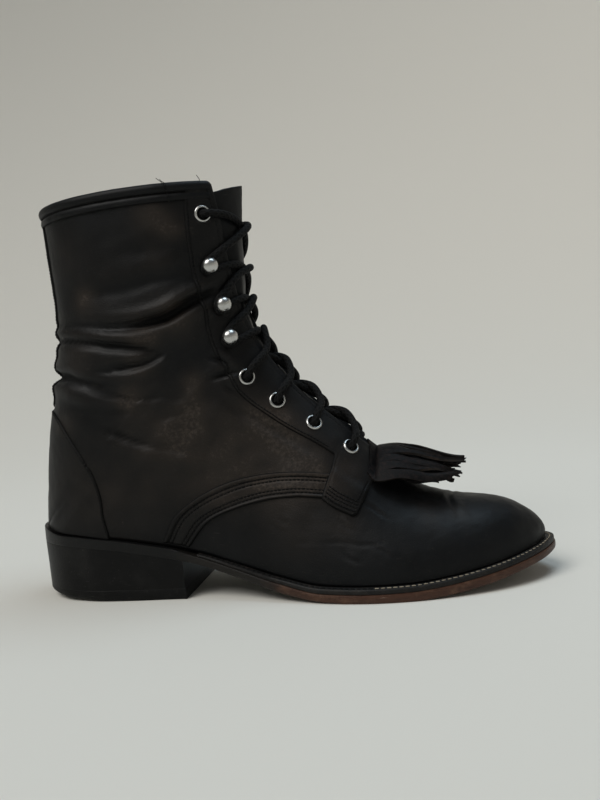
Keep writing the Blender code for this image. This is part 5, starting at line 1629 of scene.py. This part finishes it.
# eyelets and ball hooks on the facings: x, z, kind
fasteningLook = {
    "places": [(38.5, 72.9, "eyelet"), (20.3, 87.1, "eyelet"), (2.1, 100.5, "eyelet"), (-12.8, 114.2, "eyelet"),
               (-21.6, 134.8, "hook"), (-25.0, 153.2, "hook"), (-28.6, 173.5, "hook"), (-28.4, 200.6, "eyelet")],
    "seat": 1.05,            # height of the facing over the upper
    "ring": [(3.05, 0.0), (3.05, 0.55), (3.2, 0.85), (3.55, 1.02), (3.95, 0.95), (4.3, 0.62), (4.5, 0.15), (4.5, -0.3),
             (3.05, -0.3), (3.05, 0.0)],
    "hole": [(0.0, 0.3), (2.6, 0.3), (3.2, 0.34), (3.2, -0.2), (0.0, -0.2)],
    "hook": [(0.0, 8.8), (1.3, 8.6), (2.5, 8.05), (3.5, 7.2), (4.05, 6.15), (4.2, 5.2), (4.0, 4.1), (3.4, 3.1), (2.5, 2.3),
             (1.6, 1.9), (1.5, 0.9), (2.4, 0.72), (2.9, 0.58), (3.2, 0.32), (3.3, -0.3), (0.0, -0.3)],
}


def fasteningSpots():
    return [(*findOnSkin(outer, x, z), kind) for x, z, kind in fasteningLook["places"]]


spots = fasteningSpots()


def makeFastenings():
    chosen = {"eyelet": [], "hook": []}
    names = {"eyelet": [], "hook": []}
    for number, (row, t, kind) in enumerate(spots, start=1):
        for side in (outer, inner):
            out = unitRows(skinAt(side, row, t, "normals"))
            ahead = onSkin(side, row + 0.1, t) - onSkin(side, row - 0.1, t)
            chosen[kind].append((onSkin(side, row, t, fasteningLook["seat"]), unitRows(ahead), out))
            names[kind].append(f"{kind}_{sideNames[side]}_{number}")
    ring = turnedShape("ringShape", fasteningLook["ring"], 40)
    hole = turnedShape("holeShape", fasteningLook["hole"], 24)
    hook = turnedShape("hookShape", fasteningLook["hook"], 32)
    placeShapes("eyeletRings", ring, chosen["eyelet"], finishes["nickel"], names["eyelet"])
    # a dark disc in each eyelet paints the shade in its hole
    placeShapes("eyeletHoles", hole, chosen["eyelet"], finishes["holeDark"])
    placeShapes("hookStuds", hook, chosen["hook"], finishes["nickel"], names["hook"])
    for shape in (ring, hole, hook):
        bpy.data.objects.remove(shape)


makeFastenings()
print("eyelets and hooks ready")


# laces through the eyelets, round the hooks, and crossing over the tongue
laceLook = {
    "radius": 2.0,
    "sides": 12,
    "over": 3.4,             # axis over the leather at a facing edge
    "crossing": 2.8,
    "apart": 1.6,            # half the height between two strands at a crossing
    "hookRound": 2.5,        # axis round a hook's stem, under its ball
    "hookSpread": 6.0,       # strands drawn apart at the facing edge
}


def fromFront(row, t, side):
    length = skin[side]["fromBack"][int(round(row / folds["rowStep"]))]
    return float(length[-1] - np.interp(t, tLine, length))


def laceStop(number, side):
    row, t, kind = spots[number]
    reach, gap = fromFront(row, t, side), float(throatGap(row))
    step = np.linalg.norm(onSkin(side, row + 0.1, t) - onSkin(side, row - 0.1, t)) / 0.2
    over, wide, spread = laceLook["over"], laceLook["hookRound"], laceLook["hookSpread"]
    if kind == "hook":
        way = [(row - spread / step, gap + 1.0, over), (row - 0.6 * spread / step, reach - 4.0, over),
               (row - 0.8 * wide / step, reach + 0.6 * wide, over - 0.1), (row, reach + wide, over - 0.1),
               (row + 0.8 * wide / step, reach + 0.6 * wide, over - 0.1), (row + 0.6 * spread / step, reach - 4.0, over),
               (row + spread / step, gap + 1.0, over)]
    elif number == len(spots) - 1:
        way = [(row - 2.5 / step, gap + 1.0, over), (row - 0.8 / step, reach - 3.4, over + 0.6), (row, reach - 0.4, 2.6),
               (row, reach, 0.6), (row, reach, -1.0)]
    else:
        way = [(row - 2.4 / step, gap - 2.2, -0.3), (row - 0.6 / step, reach - 3.0, -2.3), (row, reach, -1.0),
               (row, reach - 0.2, 2.0), (row + 0.8 / step, reach - 3.2, over + 0.7), (row + 2.4 / step, gap + 1.0, over)]
        if number == 0:
            way = way[1:]
    return [onSkin(side, r, tFromFront(side, r, d), out) for r, d, out in way]


def laceRoute(start):
    points, side = [], start
    for number in range(len(spots)):
        points += laceStop(number, side)
        if number < len(spots) - 1:
            middle = 0.5 * (spots[number][0] + spots[number + 1][0]) + 0.08
            high = laceLook["apart"] if (number % 2 == 0) == (start == outer) else -laceLook["apart"]
            points.append(onSkin(side, middle, 1.0, laceLook["crossing"] + high))
        side = -side
    return np.array(points)


def tubeMesh(name, points, radius, sides, spacing=0.9):
    chord = np.concatenate([[0.0], np.cumsum(np.linalg.norm(np.diff(points, axis=0), axis=1))])
    dense = np.linspace(0.0, chord[-1], int(chord[-1] / spacing) + 2)
    line = np.stack([hermite(chord, points[:, k], dense) for k in range(3)], axis=1)
    tangents = unitRows(np.gradient(line, axis=0))
    up = np.cross(tangents[0], (0.3, 0.8, 0.5))
    rings = []
    for p, tangent in zip(line, tangents):
        up = up - np.dot(up, tangent) * tangent
        up = up / np.linalg.norm(up)
        side = np.cross(tangent, up)
        angles = 2.0 * math.pi * np.arange(sides) / sides
        rings.append(p + radius * (np.cos(angles)[:, None] * up + np.sin(angles)[:, None] * side))
    count = len(rings)
    places = np.concatenate([np.array(rings).reshape(-1, 3), line[:1], line[-1:]])
    faces, spotsUv = [], []
    travelled = np.concatenate([[0.0], np.cumsum(np.linalg.norm(np.diff(line, axis=0), axis=1))]) * mm
    for i in range(count - 1):
        for k in range(sides):
            after = (k + 1) % sides
            faces.append([i * sides + k, i * sides + after, (i + 1) * sides + after, (i + 1) * sides + k])
            u, v = k / sides, (k + 1) / sides
            spotsUv += [(u, travelled[i]), (v, travelled[i]), (v, travelled[i + 1]), (u, travelled[i + 1])]
    for k in range(sides):
        after = (k + 1) % sides
        faces.append([count * sides, after, k])
        faces.append([count * sides + 1, (count - 1) * sides + k, (count - 1) * sides + after])
        spotsUv += [(0.0, 0.0)] * 6
    mesh = meshFrom(name, places, faces)
    layer = mesh.uv_layers.new(name="UVMap")
    layer.data.foreach_set("uv", np.array(spotsUv, np.float32).ravel())
    return mesh, float(travelled[-1])


def makeLaces():
    meshes, lengths = [], []
    for start in (outer, inner):
        mesh, length = tubeMesh("lace", laceRoute(start), laceLook["radius"], laceLook["sides"])
        meshes.append(mesh)
        lengths.append(length)
    row, t, _ = spots[0]
    bar = []
    for side in (outer, inner):
        reach, gap = fromFront(row, t, side), float(throatGap(row))
        way = [(row, reach, -1.2), (row - 0.05, reach - 4.0, -2.0), (row - 0.08, gap - 2.0, -0.6)]
        bar.append([onSkin(side, r, tFromFront(side, r, d), out) for r, d, out in way])
    middle = onSkin(outer, row - 0.08, 1.0, 0.8)
    points = np.array(bar[0] + [middle] + bar[1][::-1])
    mesh, length = tubeMesh("laceBar", points, laceLook["radius"], laceLook["sides"])
    meshes.append(mesh)
    print("lace lengths in metres", [round(v, 3) for v in lengths], "bar", round(length, 3))
    makePiece("laceCords", joinMeshes("laceCords", meshes), ("laces",), (finishes["laceBraid"],))


makeLaces()
print("laces ready")


# threads that have come loose at the front of the collar: x on the collar, steps away from it
threadLook = {
    "radius": 0.17,
    "threads": [
        (-44.0, [(-4.2, -1.6, 4.0), (-2.6, -1.7, 2.6), (-1.0, -2.0, 1.2), (0.0, -2.25, -0.6), (0.6, -2.3, -2.4),
                 (1.0, -1.6, -3.9), (1.4, -1.9, -5.6), (1.9, -1.7, -7.6), (2.2, -1.5, -9.4)]),
        (-43.4, [(0.0, -1.6, -2.5), (-0.8, -2.1, 0.9), (-2.2, -1.7, 1.9), (-3.2, -2.2, 3.0)]),
        (-28.0, [(0.0, -1.4, 0.6), (0.4, -1.7, 1.8), (-0.3, -1.3, 3.0), (-1.0, -1.6, 4.3)]),
        (-24.8, [(0.0, -1.2, -3.5), (1.0, -2.2, -4.6), (1.5, -2.5, -6.4), (0.9, -2.7, -8.2)]),
    ],
}


def makeLooseThreads():
    edge = skin[outer]["points"][-1]
    meshes = []
    for x, steps in threadLook["threads"]:
        start = edge[int(np.argmin(np.abs(edge[:, 0] - x)))]
        meshes.append(tubeMesh("thread", start + np.array(steps), threadLook["radius"], 5, 0.5)[0])
    makePiece("looseThreads", joinMeshes("looseThreads", meshes), (), (finishes["blackThread"],))


makeLooseThreads()
print("loose threads ready")


# stitches: the black seams of the upper and the pale ones on the welt
stitchLook = {
    "fine": (1.15, 0.5, 0.42),
    "coarse": (1.5, 0.8, 0.6),
    "band": (1.6, 0.75, 0.6),
    "welt": (2.2, 0.85, 0.6),
    "weltSpacing": 3.0,
    "weltInset": 2.75,
    "paleFrom": 47.0,        # behind this x the welt's thread is blackened
}


def weltStitches():
    points = []
    for side, s in weltPath(160):
        x, y = edgePoint(side, s, stitchLook["weltInset"])[0]
        points.append((x, y, float(seat(x)) - 0.02))
    points = np.array(points)
    ups = np.tile((0.0, 0.0, 1.0), (len(points), 1))
    ranked = spacedAlong(points, ups, stitchLook["weltSpacing"])
    pale = [spot for spot in ranked if spot[0][0] > stitchLook["paleFrom"]]
    return pale, [spot for spot in ranked if -38.0 < spot[0][0] <= stitchLook["paleFrom"]]


def makeStitches():
    shape = stitchShape()
    pale, dark = weltStitches()
    black, waxed = finishes["blackThread"], finishes["paleThread"]
    placeShapes("seamStitches", shape, seams["fineThread"], black,
                size=[v * mm for v in stitchLook["fine"]], vary=0.08)
    placeShapes("tabStitches", shape, seams["blackThread"], black,
                size=[v * mm for v in stitchLook["coarse"]], vary=0.08)
    placeShapes("bandStitches", shape, seams["bandThread"], black,
                size=[v * mm for v in stitchLook["band"]], vary=0.12)
    placeShapes("weltStitchesPale", shape, pale, waxed,
                size=[v * mm for v in stitchLook["welt"]], vary=0.1)
    placeShapes("weltStitchesDark", shape, dark, black,
                size=[v * mm for v in stitchLook["welt"]], vary=0.1)
    bpy.data.objects.remove(shape)


makeStitches()
print("stitches ready")
